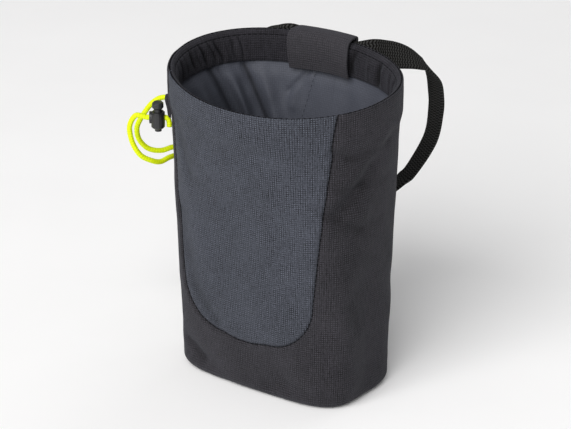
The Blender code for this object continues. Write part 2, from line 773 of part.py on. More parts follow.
def make_tab(parts):
    """The small folded tape sewn into the seam beside the lock."""
    charcoal = finish("tab fabric", (0.026, 0.025, 0.030), 0.85)
    middle = TAB_LEVEL * HEIGHT
    _, _, girth = section(TAB_LEVEL, 0.0, np.array([TAB_SHARE]))
    half = TAB_WIDTH / 2 / girth
    rings = []
    for step in range(5):
        height = middle + TAB_HEIGHT * (step / 4 - 0.5)
        outer = [TAB_SHARE + half * k for k in (-0.8, 0, 0.8)]
        ring = [wall_point(share, height, -CLEARANCE - TAB_STAND) for share in outer]
        inner = [TAB_SHARE + half * k for k in (1, 0, -1)]
        ring += [wall_point(share, height, -CLEARANCE) for share in inner]
        rings.append(ring)
    part = add("cord_tab", loft("cord_tab", rings, True, (0, -1)), parts, charcoal)
    part.data.set_sharp_from_angle(angle=math.radians(40))


def make_cord(parts):
    """The elastic draw cord, from the bag through its loop and the lock back into the bag."""
    yellow = finish("draw cord", (0.60, 0.75, 0.010), 0.6)
    data = bpy.data.curves.new("draw_cord", "CURVE")
    data.dimensions = "3D"
    data.bevel_depth = CORD_DIAMETER / 2
    data.bevel_resolution = 2
    data.use_fill_caps = True
    line = smooth_path(CORD_ROUTE, CORD_POINTS)
    spline = data.splines.new("POLY")
    spline.points.add(len(line) - 1)
    for point, place in zip(spline.points, line):
        point.co = (*place, 1)
    data.materials.append(yellow)
    parts.objects.link(bpy.data.objects.new("draw_cord", data))


def main():
    clear_scene()
    parts = new_collection("chalk_bag")
    cutters = new_collection("cutters")
    make_wall(parts, cutters)
    make_base(parts)
    make_lining(parts)
    make_band(parts)
    make_tunnel(parts)
    make_belt(parts)
    make_buckle(parts, cutters)
    make_cord(parts)
    make_lock(parts, cutters)
    make_tab(parts)


main()
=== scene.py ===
"""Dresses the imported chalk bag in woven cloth, webbing, braided cord and moulded plastic.

Metres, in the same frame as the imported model: +Z up, front towards -Y, origin at the base.
A place on the cloth is its share of the girth, from 0 at the front through 0.25 on the +X
side to 0.5 at the back, and its height.
"""

import math

import bmesh
import bpy
import numpy as np
from bpy.props import FloatProperty, FloatVectorProperty, IntProperty, PointerProperty
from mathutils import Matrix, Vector, noise


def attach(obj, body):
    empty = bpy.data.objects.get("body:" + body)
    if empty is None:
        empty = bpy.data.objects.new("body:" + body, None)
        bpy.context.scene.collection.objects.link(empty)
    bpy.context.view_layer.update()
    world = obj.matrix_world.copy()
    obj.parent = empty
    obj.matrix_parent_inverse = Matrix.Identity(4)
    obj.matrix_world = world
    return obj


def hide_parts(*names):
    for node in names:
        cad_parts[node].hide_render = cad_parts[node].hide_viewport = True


bl_info = {
    "name": "Climbing Chalk Bag",
    "version": (1, 0, 0),
    "blender": (4, 5, 0),
    "location": "3D View > Sidebar > Chalk Bag",
    "description": "Dresses the chalk bag in cloth, webbing, cord and plastic",
    "category": "Object",
}

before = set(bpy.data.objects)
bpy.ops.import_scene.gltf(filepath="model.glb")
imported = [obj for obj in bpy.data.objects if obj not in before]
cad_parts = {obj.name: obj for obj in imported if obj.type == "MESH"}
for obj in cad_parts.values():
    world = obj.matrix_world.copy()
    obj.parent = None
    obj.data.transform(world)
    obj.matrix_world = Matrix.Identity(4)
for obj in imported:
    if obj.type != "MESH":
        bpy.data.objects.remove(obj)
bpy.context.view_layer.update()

BODY = "bag"
MM = 0.001

# Dents of the outer cloth. Columns: share of the girth, level, to share, to level,
# half width in mm, depth in mm. A negative depth is a ridge.
DENTS = (
    (0.165, 0.46, 0.205, 0.08, 8.5, -1.8),
    (0.235, 0.40, 0.260, 0.10, 11.9, 2.4),
    (0.170, 0.66, 0.225, 0.80, 6.0, 2.2),
    (0.160, 0.72, 0.250, 0.88, 5.1, -1.6),
    (0.150, 0.62, 0.215, 0.66, 5.4, -1.4),
    (0.050, 0.035, 0.075, 0.060, 6.8, 2.2),
    (-0.120, 0.075, -0.085, 0.035, 7.6, 2.4),
    (-0.040, 0.55, 0.040, 0.62, 22.0, 1.2),
    (0.480, 0.30, 0.520, 0.70, 20.0, 1.8),
    (-0.270, 0.35, -0.240, 0.72, 12.0, 2.0),
    (0.290, 0.68, 0.305, 0.36, 14.5, 1.1),
)

# Creases too fine for the solids, in the same columns.
CREASES = (
    (0.155, 0.885, 0.185, 0.845, 1.8, 0.63),
    (0.185, 0.845, 0.265, 0.850, 2.6, 0.68),
    (0.165, 0.750, 0.215, 0.745, 2.4, 0.57),
    (0.215, 0.745, 0.265, 0.730, 3.0, 0.40),
    (0.150, 0.670, 0.210, 0.600, 2.4, 0.74),
    (0.210, 0.600, 0.260, 0.600, 3.2, 0.46),
    (0.150, 0.790, 0.180, 0.830, 1.8, -0.51),
    (0.200, 0.520, 0.245, 0.470, 4.0, 0.51),
    (0.190, 0.350, 0.215, 0.260, 3.4, 0.80),
    (0.220, 0.260, 0.235, 0.110, 3.8, -0.63),
    (0.140, 0.180, 0.190, 0.060, 5.0, -0.57),
    (0.110, 0.050, 0.150, 0.030, 3.5, 0.50),
    (-0.140, 0.100, -0.105, 0.060, 3.0, 1.26),
    (0.000, 0.930, 0.120, 0.900, 5.0, 0.20),
    (0.100, 0.860, 0.135, 0.800, 3.4, 0.25),
    (-0.120, 0.880, -0.090, 0.700, 4.6, 0.72),
    (-0.125, 0.560, -0.105, 0.330, 5.0, 0.72),
    (-0.100, 0.300, -0.060, 0.215, 4.5, 0.72),
    (0.340, 0.820, 0.400, 0.600, 5.0, 0.80),
    (0.430, 0.560, 0.470, 0.300, 6.0, 0.70),
    (-0.360, 0.800, -0.420, 0.560, 5.0, 0.80),
    (-0.300, 0.460, -0.360, 0.200, 6.0, 0.70),
    (-0.220, 0.860, -0.190, 0.780, 3.0, 0.60),
)

# Folds of the lining, in the same columns. A positive depth is a ridge towards the bag's
# middle and a negative one a valley.
FOLDS = (
    (-0.250, 0.88, -0.292, 0.70, 4.0, 3.0),
    (-0.313, 0.90, -0.362, 0.68, 3.4, 5.6),
    (-0.374, 0.88, -0.414, 0.66, 4.6, 4.6),
    (-0.437, 0.90, -0.428, 0.78, 3.4, 1.4),
    (0.450, 0.84, 0.420, 0.55, 8.5, 1.6),
    (0.300, 0.80, 0.340, 0.45, 8.5, 2.7),
    (0.130, 0.78, 0.080, 0.45, 9.3, 2.5),
    (-0.120, 0.80, -0.070, 0.40, 9.3, 2.7),
    (-0.283, 0.90, -0.334, 0.70, 1.7, -3.0),
    (-0.345, 0.89, -0.392, 0.68, 1.6, -3.4),
    (-0.300, 0.89, -0.345, 0.72, 0.9, -0.7),
    (-0.456, 0.90, -0.420, 0.82, 1.5, -1.1),
    (0.480, 0.90, 0.462, 0.76, 4.5, -0.5),
)

# Gathers of the rim's facing: share at its top edge, share at its lower edge, half width
# in mm, depth in mm. A positive depth is a groove and a negative one a ridge.
GATHERS = (
    (-0.372, -0.380, 2.4, 0.4),
    (-0.318, -0.334, 1.1, 0.7),
    (-0.303, -0.320, 1.0, -0.4),
    (-0.288, -0.310, 1.1, 1.5),
    (-0.276, -0.297, 0.9, 1.1),
    (-0.267, -0.288, 0.8, -0.5),
    (-0.256, -0.280, 1.2, 1.6),
    (-0.244, -0.264, 0.8, 0.5),
    (-0.233, -0.250, 1.2, 1.3),
    (-0.216, -0.229, 0.9, 0.7),
    (-0.200, -0.213, 1.3, 1.1),
    (-0.180, -0.188, 1.4, 0.8),
    (0.466, 0.472, 2.6, 1.6),
    (0.438, 0.434, 1.2, -0.5),
    (0.404, 0.414, 2.4, 1.9),
    (0.392, 0.398, 1.3, -0.6),
    (0.366, 0.372, 1.4, 0.9),
    (0.336, 0.352, 1.8, 1.4),
    (0.305, 0.312, 1.6, 0.8),
    (0.120, 0.122, 2.4, 0.5),
    (-0.060, -0.058, 2.4, 0.5),
)

# The facing's section: distance inside the wall's outer surface and below the rim in mm,
# and how much of a gather's depth it takes.
FACING = (
    (1.20, 1.4, 0.0),
    (1.25, 0.6, 0.0),
    (1.55, 0.25, 0.0),
    (2.10, 0.30, 0.0),
    (2.80, 0.8, 0.0),
    (3.40, 1.5, 0.0),
    (3.90, 2.2, 0.1),
    (4.15, 2.7, 0.2),
    (4.60, 3.3, 0.5),
    (5.20, 5.0, 0.9),
    (5.55, 7.0, 1.0),
    (5.60, 9.5, 1.0),
    (5.50, 12.5, 1.0),
    (5.20, 14.8, 0.6),
    (4.80, 16.0, 0.2),
    (4.00, 16.3, 0.0),
    (3.20, 16.0, 0.0),
)

# How the outer cloth rolls over the rim: distance below it and inside the wall, in metres.
RIM_ROLL = (
    (0.0012, 0.0),
    (0.0006, 0.0001),
    (0.0002, 0.0003),
    (0.0, 0.0006),
    (0.0002, 0.0009),
    (0.0007, 0.0011),
    (0.0015, 0.0012),
)

# The belt round by +X from the buckle, then from the tunnel back to it: across and behind
# as shares of half the rim's width and depth, up as a share of the height, and the way its
# outer edge points. The stretch in the tunnel comes from the wall.
BELT_RIGHT = (
    (-0.744, 1.440, 0.0141, 0.00, 1.00, 0.00),
    (-0.650, 1.440, 0.0140, 0.00, 1.00, 0.00),
    (-0.520, 1.415, 0.006, 0.00, 1.00, 0.00),
    (-0.345, 1.344, 0.028, -0.05, 1.00, 0.00),
    (-0.157, 1.267, 0.122, -0.15, 0.98, 0.00),
    (-0.063, 1.190, 0.240, -0.25, 0.96, 0.00),
    (0.031, 1.209, 0.346, -0.36, 0.93, 0.00),
    (0.188, 1.267, 0.452, -0.48, 0.88, 0.00),
    (0.374, 1.395, 0.536, -0.65, 0.75, 0.04),
    (0.438, 1.494, 0.569, -0.76, 0.65, 0.00),
    (0.538, 1.655, 0.670, -0.83, 0.56, 0.01),
    (0.563, 1.702, 0.765, -0.88, 0.48, 0.00),
    (0.559, 1.700, 0.824, -0.90, 0.44, -0.02),
    (0.542, 1.683, 0.871, -0.88, 0.48, 0.00),
    (0.513, 1.615, 0.911, -0.78, 0.62, 0.07),
    (0.475, 1.561, 0.928, -0.70, 0.67, 0.20),
    (0.431, 1.484, 0.943, -0.60, 0.68, 0.41),
    (0.347, 1.359, 0.958, -0.42, 0.52, 0.74),
    (0.290, 1.230, 0.969, -0.26, 0.36, 0.89),
    (0.240, 1.100, 0.978, -0.10, 0.18, 0.98),
)
BELT_LEFT = (
    (-0.580, 0.898, 0.984, 0.00, 0.04, 1.00),
    (-0.740, 0.950, 0.957, 0.00, 0.10, 0.98),
    (-0.942, 1.002, 0.886, 0.05, 0.30, 0.90),
    (-1.162, 1.075, 0.799, 0.05, 0.65, 0.70),
    (-1.413, 1.171, 0.669, 0.03, 0.90, 0.40),
    (-1.617, 1.267, 0.522, 0.00, 0.98, 0.15),
    (-1.758, 1.344, 0.358, 0.00, 1.00, 0.04),
    (-1.837, 1.401, 0.216, 0.00, 1.00, 0.00),
    (-1.790, 1.440, 0.087, 0.00, 1.00, 0.00),
    (-1.601, 1.459, 0.012, 0.00, 1.00, 0.00),
    (-1.400, 1.450, 0.001, 0.00, 1.00, 0.00),
    (-1.235, 1.440, 0.0140, 0.00, 1.00, 0.00),
    (-1.140, 1.440, 0.0141, 0.00, 1.00, 0.00),
)

# The draw cord's route, in metres: out of the bag, round its loop, through the lock, back.
CORD_ROUTE = (
    (-0.0577, -0.0235, 0.1499),
    (-0.0602, -0.0243, 0.1502),
    (-0.0641, -0.0249, 0.1487),
    (-0.0678, -0.0264, 0.1454),
    (-0.0706, -0.0278, 0.1412),
    (-0.0734, -0.0293, 0.1360),
    (-0.0750, -0.0299, 0.1310),
    (-0.0747, -0.0284, 0.1245),
    (-0.0719, -0.0245, 0.1191),
    (-0.0679, -0.0190, 0.1172),
    (-0.0647, -0.0130, 0.1180),
    (-0.0645, -0.0088, 0.1157),
    (-0.0637, -0.0108, 0.1135),
    (-0.0632, -0.0181, 0.1140),
    (-0.0637, -0.0246, 0.1135),
    (-0.0651, -0.0300, 0.1154),
    (-0.0682, -0.0354, 0.1194),
    (-0.0707, -0.0385, 0.1264),
    (-0.0716, -0.0398, 0.1341),
    (-0.0705, -0.0396, 0.1391),
    (-0.0684, -0.0381, 0.1424),
    (-0.0657, -0.0361, 0.1420),
    (-0.0643, -0.0350, 0.1414),
    (-0.0628, -0.0339, 0.1413),
    (-0.0592, -0.0312, 0.1413),
    (-0.0563, -0.0291, 0.1413),
    (-0.0549, -0.0281, 0.1403),
    (-0.0545, -0.0278, 0.1384),
    (-0.0545, -0.0278, 0.1362),
)

# A stitch: share of its length, thickness, and height over the cloth in its radii. Then
# its sides, and the pitch of a row in stitches.
STITCH_PROFILE = (
    (0.0, 0.35, -1.3),
    (0.15, 0.9, -0.2),
    (0.5, 1.0, 0.35),
    (0.85, 0.9, -0.2),
    (1.0, 0.35, -1.3),
)
STITCH_SIDES, STITCH_PITCH = 6, 1.25

# The tape's section: share of its half width, share of how far it stands off.
TAPE_SECTION = (
    (-1, 0, 0),
    (-1, 0.35, 0),
    (-0.8, 0.9, 0),
    (0, 1, 0),
    (0.8, 0.9, 0),
    (1, 0.35, 0),
    (1, 0, 0),
)

# Lumps of each cloth: depth and size in metres, and the noise's seed.
WALL_LUMPS = ((0.00045, 0.022, 1), (0.00018, 0.009, 2))
SEAM_PUCKER = ((0.00022, 0.0045, 3),)
LINING_LUMPS = ((0.0008, 0.020, 5),)
LINING_CRUMPLE = ((0.00025, 0.007, 6),)
LINING_FLOOR_LUMPS = ((0.0006, 0.015, 7),)
FACING_LUMPS = ((0.0004, 0.012, 8), (0.0002, 0.005, 9))
TUNNEL_LUMPS = ((0.00035, 0.013, 11), (0.00015, 0.005, 12))

# Woven cloths: colour, pitch of the weave in metres, strength of its slubs, specks and
# broad patches, and depth of the weave in metres.
CLOTHS = {
    "charcoal_cloth": ("shell", 0.0012, 0.20, 1.10, 0.22, 0.00022),
    "slate_cloth": ("panel", 0.0012, 0.20, 1.15, 0.14, 0.00020),
    "facing_cloth": ("band", 0.0012, 0.20, 0.80, 0.22, 0.00020),
    "tunnel_cloth": ("tunnel", 0.0012, 0.10, 0.55, 0.08, 0.00016),
    "tape_cloth": ("shell", 0.0009, 0.20, 0.40, 0.10, 0.00020),
}
SATIN_PITCH = 0.0011
WEBBING_COLUMN = 0.0016
WEBBING_RIB = 0.0015
BRAID_PITCH = 0.0030
BRAID_STRANDS = 4

# The gap between the belt and the wall, and the belt's rise at the tunnel's -X edge.
BELT_GAP, BELT_RISE = 0.0003, 0.0024

# The stitching below the rim, and the stitching on its crest, inside the wall's surface.
STITCHING_BELOW, CREST_INSET = 0.0026, 0.00115

# The panel's seam in metres: how far its puckers reach, and where, how widely and how
# much its allowance raises the cloth.
PUCKER_REACH = 0.0045
ALLOWANCE_AT, ALLOWANCE_WIDTH, ALLOWANCE_RISE = 0.0026, 0.0016, 0.00022

# Shade painted in the outer cloth: the depth at which a crease is darkest and how dark it
# is, then how dark the seam is and over what half width in metres.
CREASE_DEPTH, CREASE_SHADE = 0.0010, 0.45
SEAM_SHADE, SEAM_DARK = 0.8, 0.00045

# How near the seam an open edge lies that is turned in, and how far it is turned.
SEAM_REACH, SHELL_HEM, PANEL_HEM = 0.0006, 0.0015, 0.0013

# The lining's bottom, as rings that shrink towards its middle.
BOTTOM_RINGS = (0.02, 0.25, 0.5, 0.75, 0.92)

# The level whose girth the weave follows.
CLOTH_LEVEL = 0.6

# How fine the grids are.
LEVELS = (-0.06, 1.08, 229)
SHARES = (0.0, 1.0, 1441)
SHELL_LOW_ROWS, SHELL_SIDE_ROWS = 46, 125
PANEL_ROWS = 165
LINING_ROWS, LINING_COLUMNS = 130, 421
FACING_ROWS, FACING_COLUMNS = 46, 961
TUNNEL_ROWS, TUNNEL_COLUMNS = 110, 70
BELT_ROWS, BELT_LANES, BELT_STEPS = 620, 13, 7
CORD_ROWS, CORD_SIDES = 260, 20
TAPE_ROWS, TAPE_COLUMNS = 34, 28

# The camera's aim, and the lights: name, place, size and colour.
AIM = (0, 0, 0.085)
LIGHTS = (
    ("key", (0.5, -3.2, 2.4), 3.4, (1.0, 0.99, 0.98)),
    ("fill", (1.7, -0.7, 0.9), 1.6, (0.96, 0.98, 1.0)),
    ("back", (0.2, 1.5, 1.7), 1.4, (1.0, 1.0, 1.0)),
)
FLOOR_HALF = 6.0


def length(label, about, default, precision=4):
    return FloatProperty(
        name=label, description=about, default=default, unit="LENGTH", precision=precision
    )


def ratio(label, about, default):
    return FloatProperty(name=label, description=about, default=default, min=0.0, max=20.0)


def tint(label, about, default):
    return FloatVectorProperty(
        name=label, description=about, default=default, subtype="COLOR", size=3, min=0, max=1
    )


def angle(label, about, degrees):
    return FloatProperty(
        name=label, description=about, default=math.radians(degrees), subtype="ANGLE"
    )


def power(label, about, watts):
    return FloatProperty(name=label, description=about, default=watts, unit="POWER")


class ChalkBagSizes(bpy.types.PropertyGroup):
    """Sizes of the bag's cloth, belt and cord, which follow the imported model's"""

    height: length("Height", "Mean height of the rim", 0.170)
    rim_width: length("Rim width", "Outside width of the mouth", 0.1274)
    rim_depth: length("Rim depth", "Outside depth of the mouth", 0.1042)
    rim_square: ratio("Rim squareness", "Power of the mouth's oval", 2.09)
    base_width: length("Base width", "Outside width above the base's edge", 0.1090)
    base_depth: length("Base depth", "Outside depth above the base's edge", 0.0662)
    base_square: ratio("Base squareness", "Power of the base's oval", 3.9)
    flare: ratio("Flare", "How late the section opens, 1 is even", 1.19)
    base_edge: length("Base edge", "Radius of the edge round the base", 0.006)
    back_rise: length("Back rise", "How much higher the rim is at the back", 0.005)
    left_rise: length("Left rise", "How much higher the rim is on the -X side", 0.0029)
    side_rise: length("Side rise", "How much higher the rim is at both sides", 0.0010)
    swell: length("Band swell", "How far the stiffened rim stands out", 0.0016)
    swell_below: length("Swell depth", "How far below the rim the swell starts", 0.0246)
    swell_run: length("Swell run", "Height over which it grows", 0.0088)
    dent_fade: length("Dent fade", "How far below the rim the dents fade out", 0.022)
    wall: length("Cloth", "Thickness of the outer cloth", 0.0020)
    panel_top: length("Panel top", "Half width of the front panel at the rim", 0.0545)
    panel_low: length("Panel foot", "Half width of the front panel low down", 0.0387)
    panel_bottom: length("Panel bottom", "Height of the panel's lowest point", 0.0300)
    panel_nearer: length("Panel's -X edge", "How much nearer the middle it is at the rim", 0.0050)
    panel_corner: length("Panel corner", "Radius of the panel's lower corners", 0.0285)
    panel_sag: length("Panel sag", "Rise of the panel's lower edge to its corners", 0.0020)
    seam_depth: length("Seam depth", "How deep the stitched seams sink", 0.0007)
    seam_width: length("Seam width", "Half width of the seams' groove", 0.0009)
    facing_depth: length("Facing", "How far down the rim's facing reaches", 0.0162)
    belt_width: length("Belt width", "Width of the webbing", 0.015)
    belt_thick: length("Belt thickness", "Thickness of the webbing", 0.0014)
    belt_above: length("Belt above rim", "How far the belt shows over the rim", 0.0004)
    tunnel_left: length("Tunnel left", "The tunnel's -X edge", -0.0299)
    tunnel_right: length("Tunnel right", "The tunnel's +X edge", 0.0082)
    tunnel_lean: length("Tunnel lean", "How far its lower edge leans to +X", 0.0026)
    tunnel_skew: length("Tunnel skew", "How far its -X edge leans to +X over the belt", 0.0042)
    tunnel_inside: length("Tunnel inside", "How far the tunnel reaches inside", 0.0190)
    tunnel_curl: length("Tunnel curl", "How far its free corner stands off", 0.0016)
    tunnel_cloth: length("Tunnel cloth", "Thickness of the tunnel's cloth", 0.0012)
    cord: length("Cord", "Diameter of the draw cord", 0.0028)
    tab_share: ratio("Tab share", "Where the tape is sewn on, as a share of the girth", 0.8335)
    tab_level: ratio("Tab level", "Its middle's height as a share of the bag's", 0.868)
    tab_height: length("Tab height", "Height of the tape", 0.0105)
    tab_width: length("Tab width", "Width of the tape", 0.0060)
    tab_stand: length("Tab stand", "How far the tape stands off the wall", 0.0021)
    thread: length("Thread", "Thickness of the sewing thread", 0.00038, 5)
    stitch: length("Stitch", "Length of a stitch", 0.0023)


class ChalkBagColours(bpy.types.PropertyGroup):
    """Colours of the cloth, webbing, plastic and cord"""

    shell: tint("Shell", "Charcoal cloth of the sides and base", (0.0225, 0.0213, 0.0254))
    panel: tint("Panel", "Slate cloth of the front", (0.0415, 0.0455, 0.0575))
    lining: tint("Lining", "Satin cloth inside", (0.0600, 0.0645, 0.0815))
    band: tint("Band", "Cloth of the rim's facing", (0.0185, 0.0176, 0.0218))
    tunnel: tint("Tunnel", "Cloth of the belt's tunnel", (0.0330, 0.0316, 0.0366))
    webbing: tint("Webbing", "The belt", (0.0145, 0.0145, 0.0140))
    plastic: tint("Plastic", "Cord lock and buckle", (0.014, 0.014, 0.015))
    cord: tint("Cord", "The braided draw cord", (0.64, 0.76, 0.006))
    seam: tint("Thread", "The sewing thread", (0.004, 0.004, 0.005))


class ChalkBagStage(bpy.types.PropertyGroup):
    """The camera, the lights and the floor"""

    azimuth: angle("Azimuth", "Camera's turn about the bag, from the front", 36.43)
    elevation: angle("Elevation", "Camera's height as an angle", 22.45)
    distance: length("Distance", "Camera to the middle of the bag", 1.2)
    lens: FloatProperty(
        name="Lens", description="Focal length in mm on a 36 mm sensor", default=143.55
    )
    shift_x: ratio("Shift X", "Sideways lens shift", 0.0011)
    shift_y: ratio("Shift Y", "Upward lens shift", 0.0172)
    key: power("Key", "Power of the key light", 215.0)
    fill: power("Fill", "Power of the fill light", 0.2)
    back: power("Back", "Power of the back light", 5.0)
    sky: ratio("Sky", "Strength of the even light from all round", 0.33)
    floor: tint("Floor", "Pale floor", (0.95, 0.95, 0.955))
    mesh_fineness: IntProperty(
        name="Fineness", description="Cloth columns round the front panel", default=150, min=40
    )


# Shape of the cloth


def step_smooth(value):
    t = np.clip(value, 0.0, 1.0)
    return t * t * (3 - 2 * t)


def bell(distance, half_width):
    """1 at no distance, falling smoothly to nothing past the half width."""
    return np.exp(-((distance / half_width) ** 2))


def between_cells(table, row, column):
    """The table's value between its rows and columns."""
    i, j = row.astype(int), np.minimum(column.astype(int), table.shape[1] - 2)
    a, b = row - i, column - j
    low = table[i, j] * (1 - b) + table[i, j + 1] * b
    high = table[i + 1, j] * (1 - b) + table[i + 1, j + 1] * b
    return low * (1 - a) + high * a


class Wall:
    """The bag's outer surface, as tables over the share of the girth and the level."""

    def __init__(self, sizes):
        self.s = sizes
        self.levels = np.linspace(*LEVELS)
        self.shares = np.linspace(*SHARES)
        turn = np.linspace(0, 2 * math.pi, 2161)
        shape = (len(self.levels), len(self.shares))
        self.x, self.y = np.zeros(shape), np.zeros(shape)
        self.girth = np.zeros(len(self.levels))
        for i, level in enumerate(self.levels):
            width, depth, square = self.half_sizes(level)
            sine, cosine = np.sin(turn), np.cos(turn)
            x = width * np.sign(sine) * np.abs(sine) ** (2 / square)
            y = -depth * np.sign(cosine) * np.abs(cosine) ** (2 / square)
            along = np.concatenate([[0], np.cumsum(np.hypot(np.diff(x), np.diff(y)))])
            at = self.shares * along[-1]
            self.x[i], self.y[i] = np.interp(at, along, x), np.interp(at, along, y)
            self.girth[i] = along[-1]
        dx = np.roll(self.x[:, :-1], -3, 1) - np.roll(self.x[:, :-1], 3, 1)
        dy = np.roll(self.y[:, :-1], -3, 1) - np.roll(self.y[:, :-1], 3, 1)
        size = np.hypot(dx, dy)
        self.nx = np.concatenate([dy / size, (dy / size)[:, :1]], 1)
        self.ny = np.concatenate([-dx / size, (-dx / size)[:, :1]], 1)

    def half_sizes(self, level):
        s = self.s
        swell_share = (s.swell_below - (1.0 - level) * s.height) / s.swell_run
        swell = s.swell * float(step_smooth(swell_share))
        opened = max(0.0, level) ** s.flare
        width = s.base_width / 2 + (s.rim_width / 2 - s.swell - s.base_width / 2) * opened
        depth = s.base_depth / 2 + (s.rim_depth / 2 - s.swell - s.base_depth / 2) * opened
        square = s.base_square + (s.rim_square - s.base_square) * min(1.0, level)
        return width + swell, depth + swell, square

    def read(self, table, share, level):
        rows, columns = table.shape
        span = self.levels[-1] - self.levels[0]
        row = np.clip((level - self.levels[0]) / span * (rows - 1), 0, rows - 1.001)
        return between_cells(table, row, np.mod(share, 1.0) * (columns - 1))

    def girth_at(self, level):
        return np.interp(level, self.levels, self.girth)

    def rise(self, share, level):
        turn = 2 * math.pi * share
        full = -self.s.back_rise * np.cos(turn) - self.s.left_rise * np.sin(turn)
        return (full - self.s.side_rise * np.cos(2 * turn)) * level**2

    def out(self, share, height):
        share, height = np.broadcast_arrays(np.asarray(share, float), np.asarray(height, float))
        level = height / self.s.height
        nx, ny = self.read(self.nx, share, level), self.read(self.ny, share, level)
        return np.stack([nx, ny, np.zeros_like(nx)], -1)

    def place(self, share, height, inset=0.0):
        share, height = np.broadcast_arrays(np.asarray(share, float), np.asarray(height, float))
        level = height / self.s.height
        x, y = self.read(self.x, share, level), self.read(self.y, share, level)
        flat = np.stack([x, y, height + self.rise(share, level)], -1)
        return flat - self.out(share, height) * np.asarray(inset)[..., None]

    def creased(self, table, share, height):
        """Depth in metres of a table's dents or folds at these places."""
        level = height / self.s.height
        girth = self.girth_at(level)
        total = np.zeros(np.shape(share))
        for start, low, end, high, half_width, depth in table:
            run, rise = (end - start) * girth, (high - low) * self.s.height
            off = (np.mod(share - start + 0.5, 1.0) - 0.5) * girth
            up = (level - low) * self.s.height
            along = np.clip((off * run + up * rise) / (run**2 + rise**2 + 1e-12), 0, 1)
            away = np.hypot(off - along * run, up - along * rise)
            total += depth * MM * bell(away, half_width * MM)
        return total

    def dents(self, share, height):
        s = self.s
        fade = step_smooth(height / s.base_edge / 2)
        fade = fade * step_smooth((s.height - height) / s.dent_fade)
        fine = step_smooth((s.height - height) / s.wall / 4)
        big = self.creased(DENTS, share, height) * fade
        return big + self.creased(CREASES, share, height) * fade**0.5 * fine

    def share_at_back(self, x, height):
        shares = np.linspace(0.70, 0.30, 1001)
        level = np.full_like(shares, height / self.s.height)
        return float(np.interp(x, self.read(self.x, shares, level), shares))


def ripple(points, scale, seed):
    """Smooth noise between about -1 and 1 at each point, for lumps of that size in metres."""
    flat = points.reshape(-1, 3)
    shift = Vector((seed * 3.7, seed * 1.9, seed * 5.3))
    found = [noise.noise(Vector(p) / scale + shift) for p in flat]
    return np.array(found).reshape(points.shape[:-1])


def lumps(points, table):
    return sum(depth * ripple(points, size, seed) for depth, size, seed in table)


def distance_along(points):
    """How far along a line of points each of them lies."""
    steps = np.linalg.norm(np.diff(points, axis=0), axis=1)
    return np.concatenate([[0], np.cumsum(steps)])


def directions(path):
    """The way a path runs at each of its points, as unit vectors."""
    index = np.arange(len(path))
    run = path[np.minimum(index + 1, len(path) - 1)] - path[np.maximum(index - 1, 0)]
    return run / np.linalg.norm(run, axis=1)[:, None]


def square_to(run, side):
    """The side turned square to the run, as a unit vector."""
    side = side - run * (side @ run)
    return side / np.linalg.norm(side)


def smooth_path(points, count):
    """That many places evenly spaced along a smooth curve through the points."""
    points = np.array(points, float)
    p = np.vstack([2 * points[:1] - points[1:2], points, 2 * points[-1:] - points[-2:-1]])
    fine = []
    for i in range(1, len(p) - 2):
        t = np.linspace(0, 1, 20, endpoint=False)[:, None]
        a, b, c, d = p[i - 1], p[i], p[i + 1], p[i + 2]
        curve = 2 * b + (c - a) * t + (2 * a - 5 * b + 4 * c - d) * t**2
        fine.append(0.5 * (curve + (3 * b - a - 3 * c + d) * t**3))
    fine = np.vstack([*fine, points[-1:]])
    along = distance_along(fine[:, :3])
    at = np.linspace(0, along[-1], count)
    return np.stack([np.interp(at, along, fine[:, k]) for k in range(p.shape[1])], axis=1)


# Making meshes


def mesh_from_grids(name, grids, merge=1e-5):
    """One mesh from grids with rows and columns of points, places on the cloth, and where
    given how much painted shade each point takes deep in a fold or seam, from 0 to 1. They are
    merged where they meet."""
    shape = bmesh.new()
    layer = shape.loops.layers.uv.new("cloth")
    # Painted shade: each point's darkening in folds and seams, kept as the fold attribute.
    painted_shade_layer = shape.verts.layers.float.new("fold")
    for points, uv, *folded in grids:
        rows, columns = points.shape[:2]
        verts = [[shape.verts.new(points[i, j]) for j in range(columns)] for i in range(rows)]
        if folded:
            for i in range(rows):
                for j in range(columns):
                    verts[i][j][painted_shade_layer] = folded[0][i, j]
        for i in range(rows - 1):
            for j in range(columns - 1):
                k = i + 1
                corners = ((i, j), (i, j + 1), (k, j + 1), (k, j))
                face = shape.faces.new([verts[a][b] for a, b in corners])
                face.smooth = True
                for loop, (a, b) in zip(face.loops, corners):
                    loop[layer].uv = uv[a, b]
    if merge:
        bmesh.ops.remove_doubles(shape, verts=shape.verts, dist=merge)
    mesh = bpy.data.meshes.new(name)
    shape.to_mesh(mesh)
    shape.free()
    return mesh


def add_piece(name, mesh, material, node=None, body=BODY):
    """Links a piece, gives it its material, and says what it rides on and stands for."""
    piece = bpy.data.objects.new(name, mesh)
    bpy.context.scene.collection.objects.link(piece)
    mesh.materials.clear()
    mesh.materials.append(material)
    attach(piece, body)
    if node:
        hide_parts(node)
    return piece


def hem(mesh, chosen, turn_in, sink):
    """Turns the mesh's open edges inwards, where the test says so, so no raw edge shows."""
    shape = bmesh.new()
    shape.from_mesh(mesh)
    shape.normal_update()
    edges = [
        e for e in shape.edges
        if e.is_boundary and all(chosen(v.co) for v in e.verts)
    ]
    made = bmesh.ops.extrude_edge_only(shape, edges=edges)
    for v in made["geom"]:
        if isinstance(v, bmesh.types.BMVert):
            v.co += turn_in(v.co) * sink
    for f in shape.faces:
        f.smooth = True
    shape.to_mesh(mesh)
    shape.free()


# The front panel's outline


def panel_slope(sizes):
    return (sizes.panel_top - sizes.panel_low) / (sizes.height - sizes.panel_bottom)


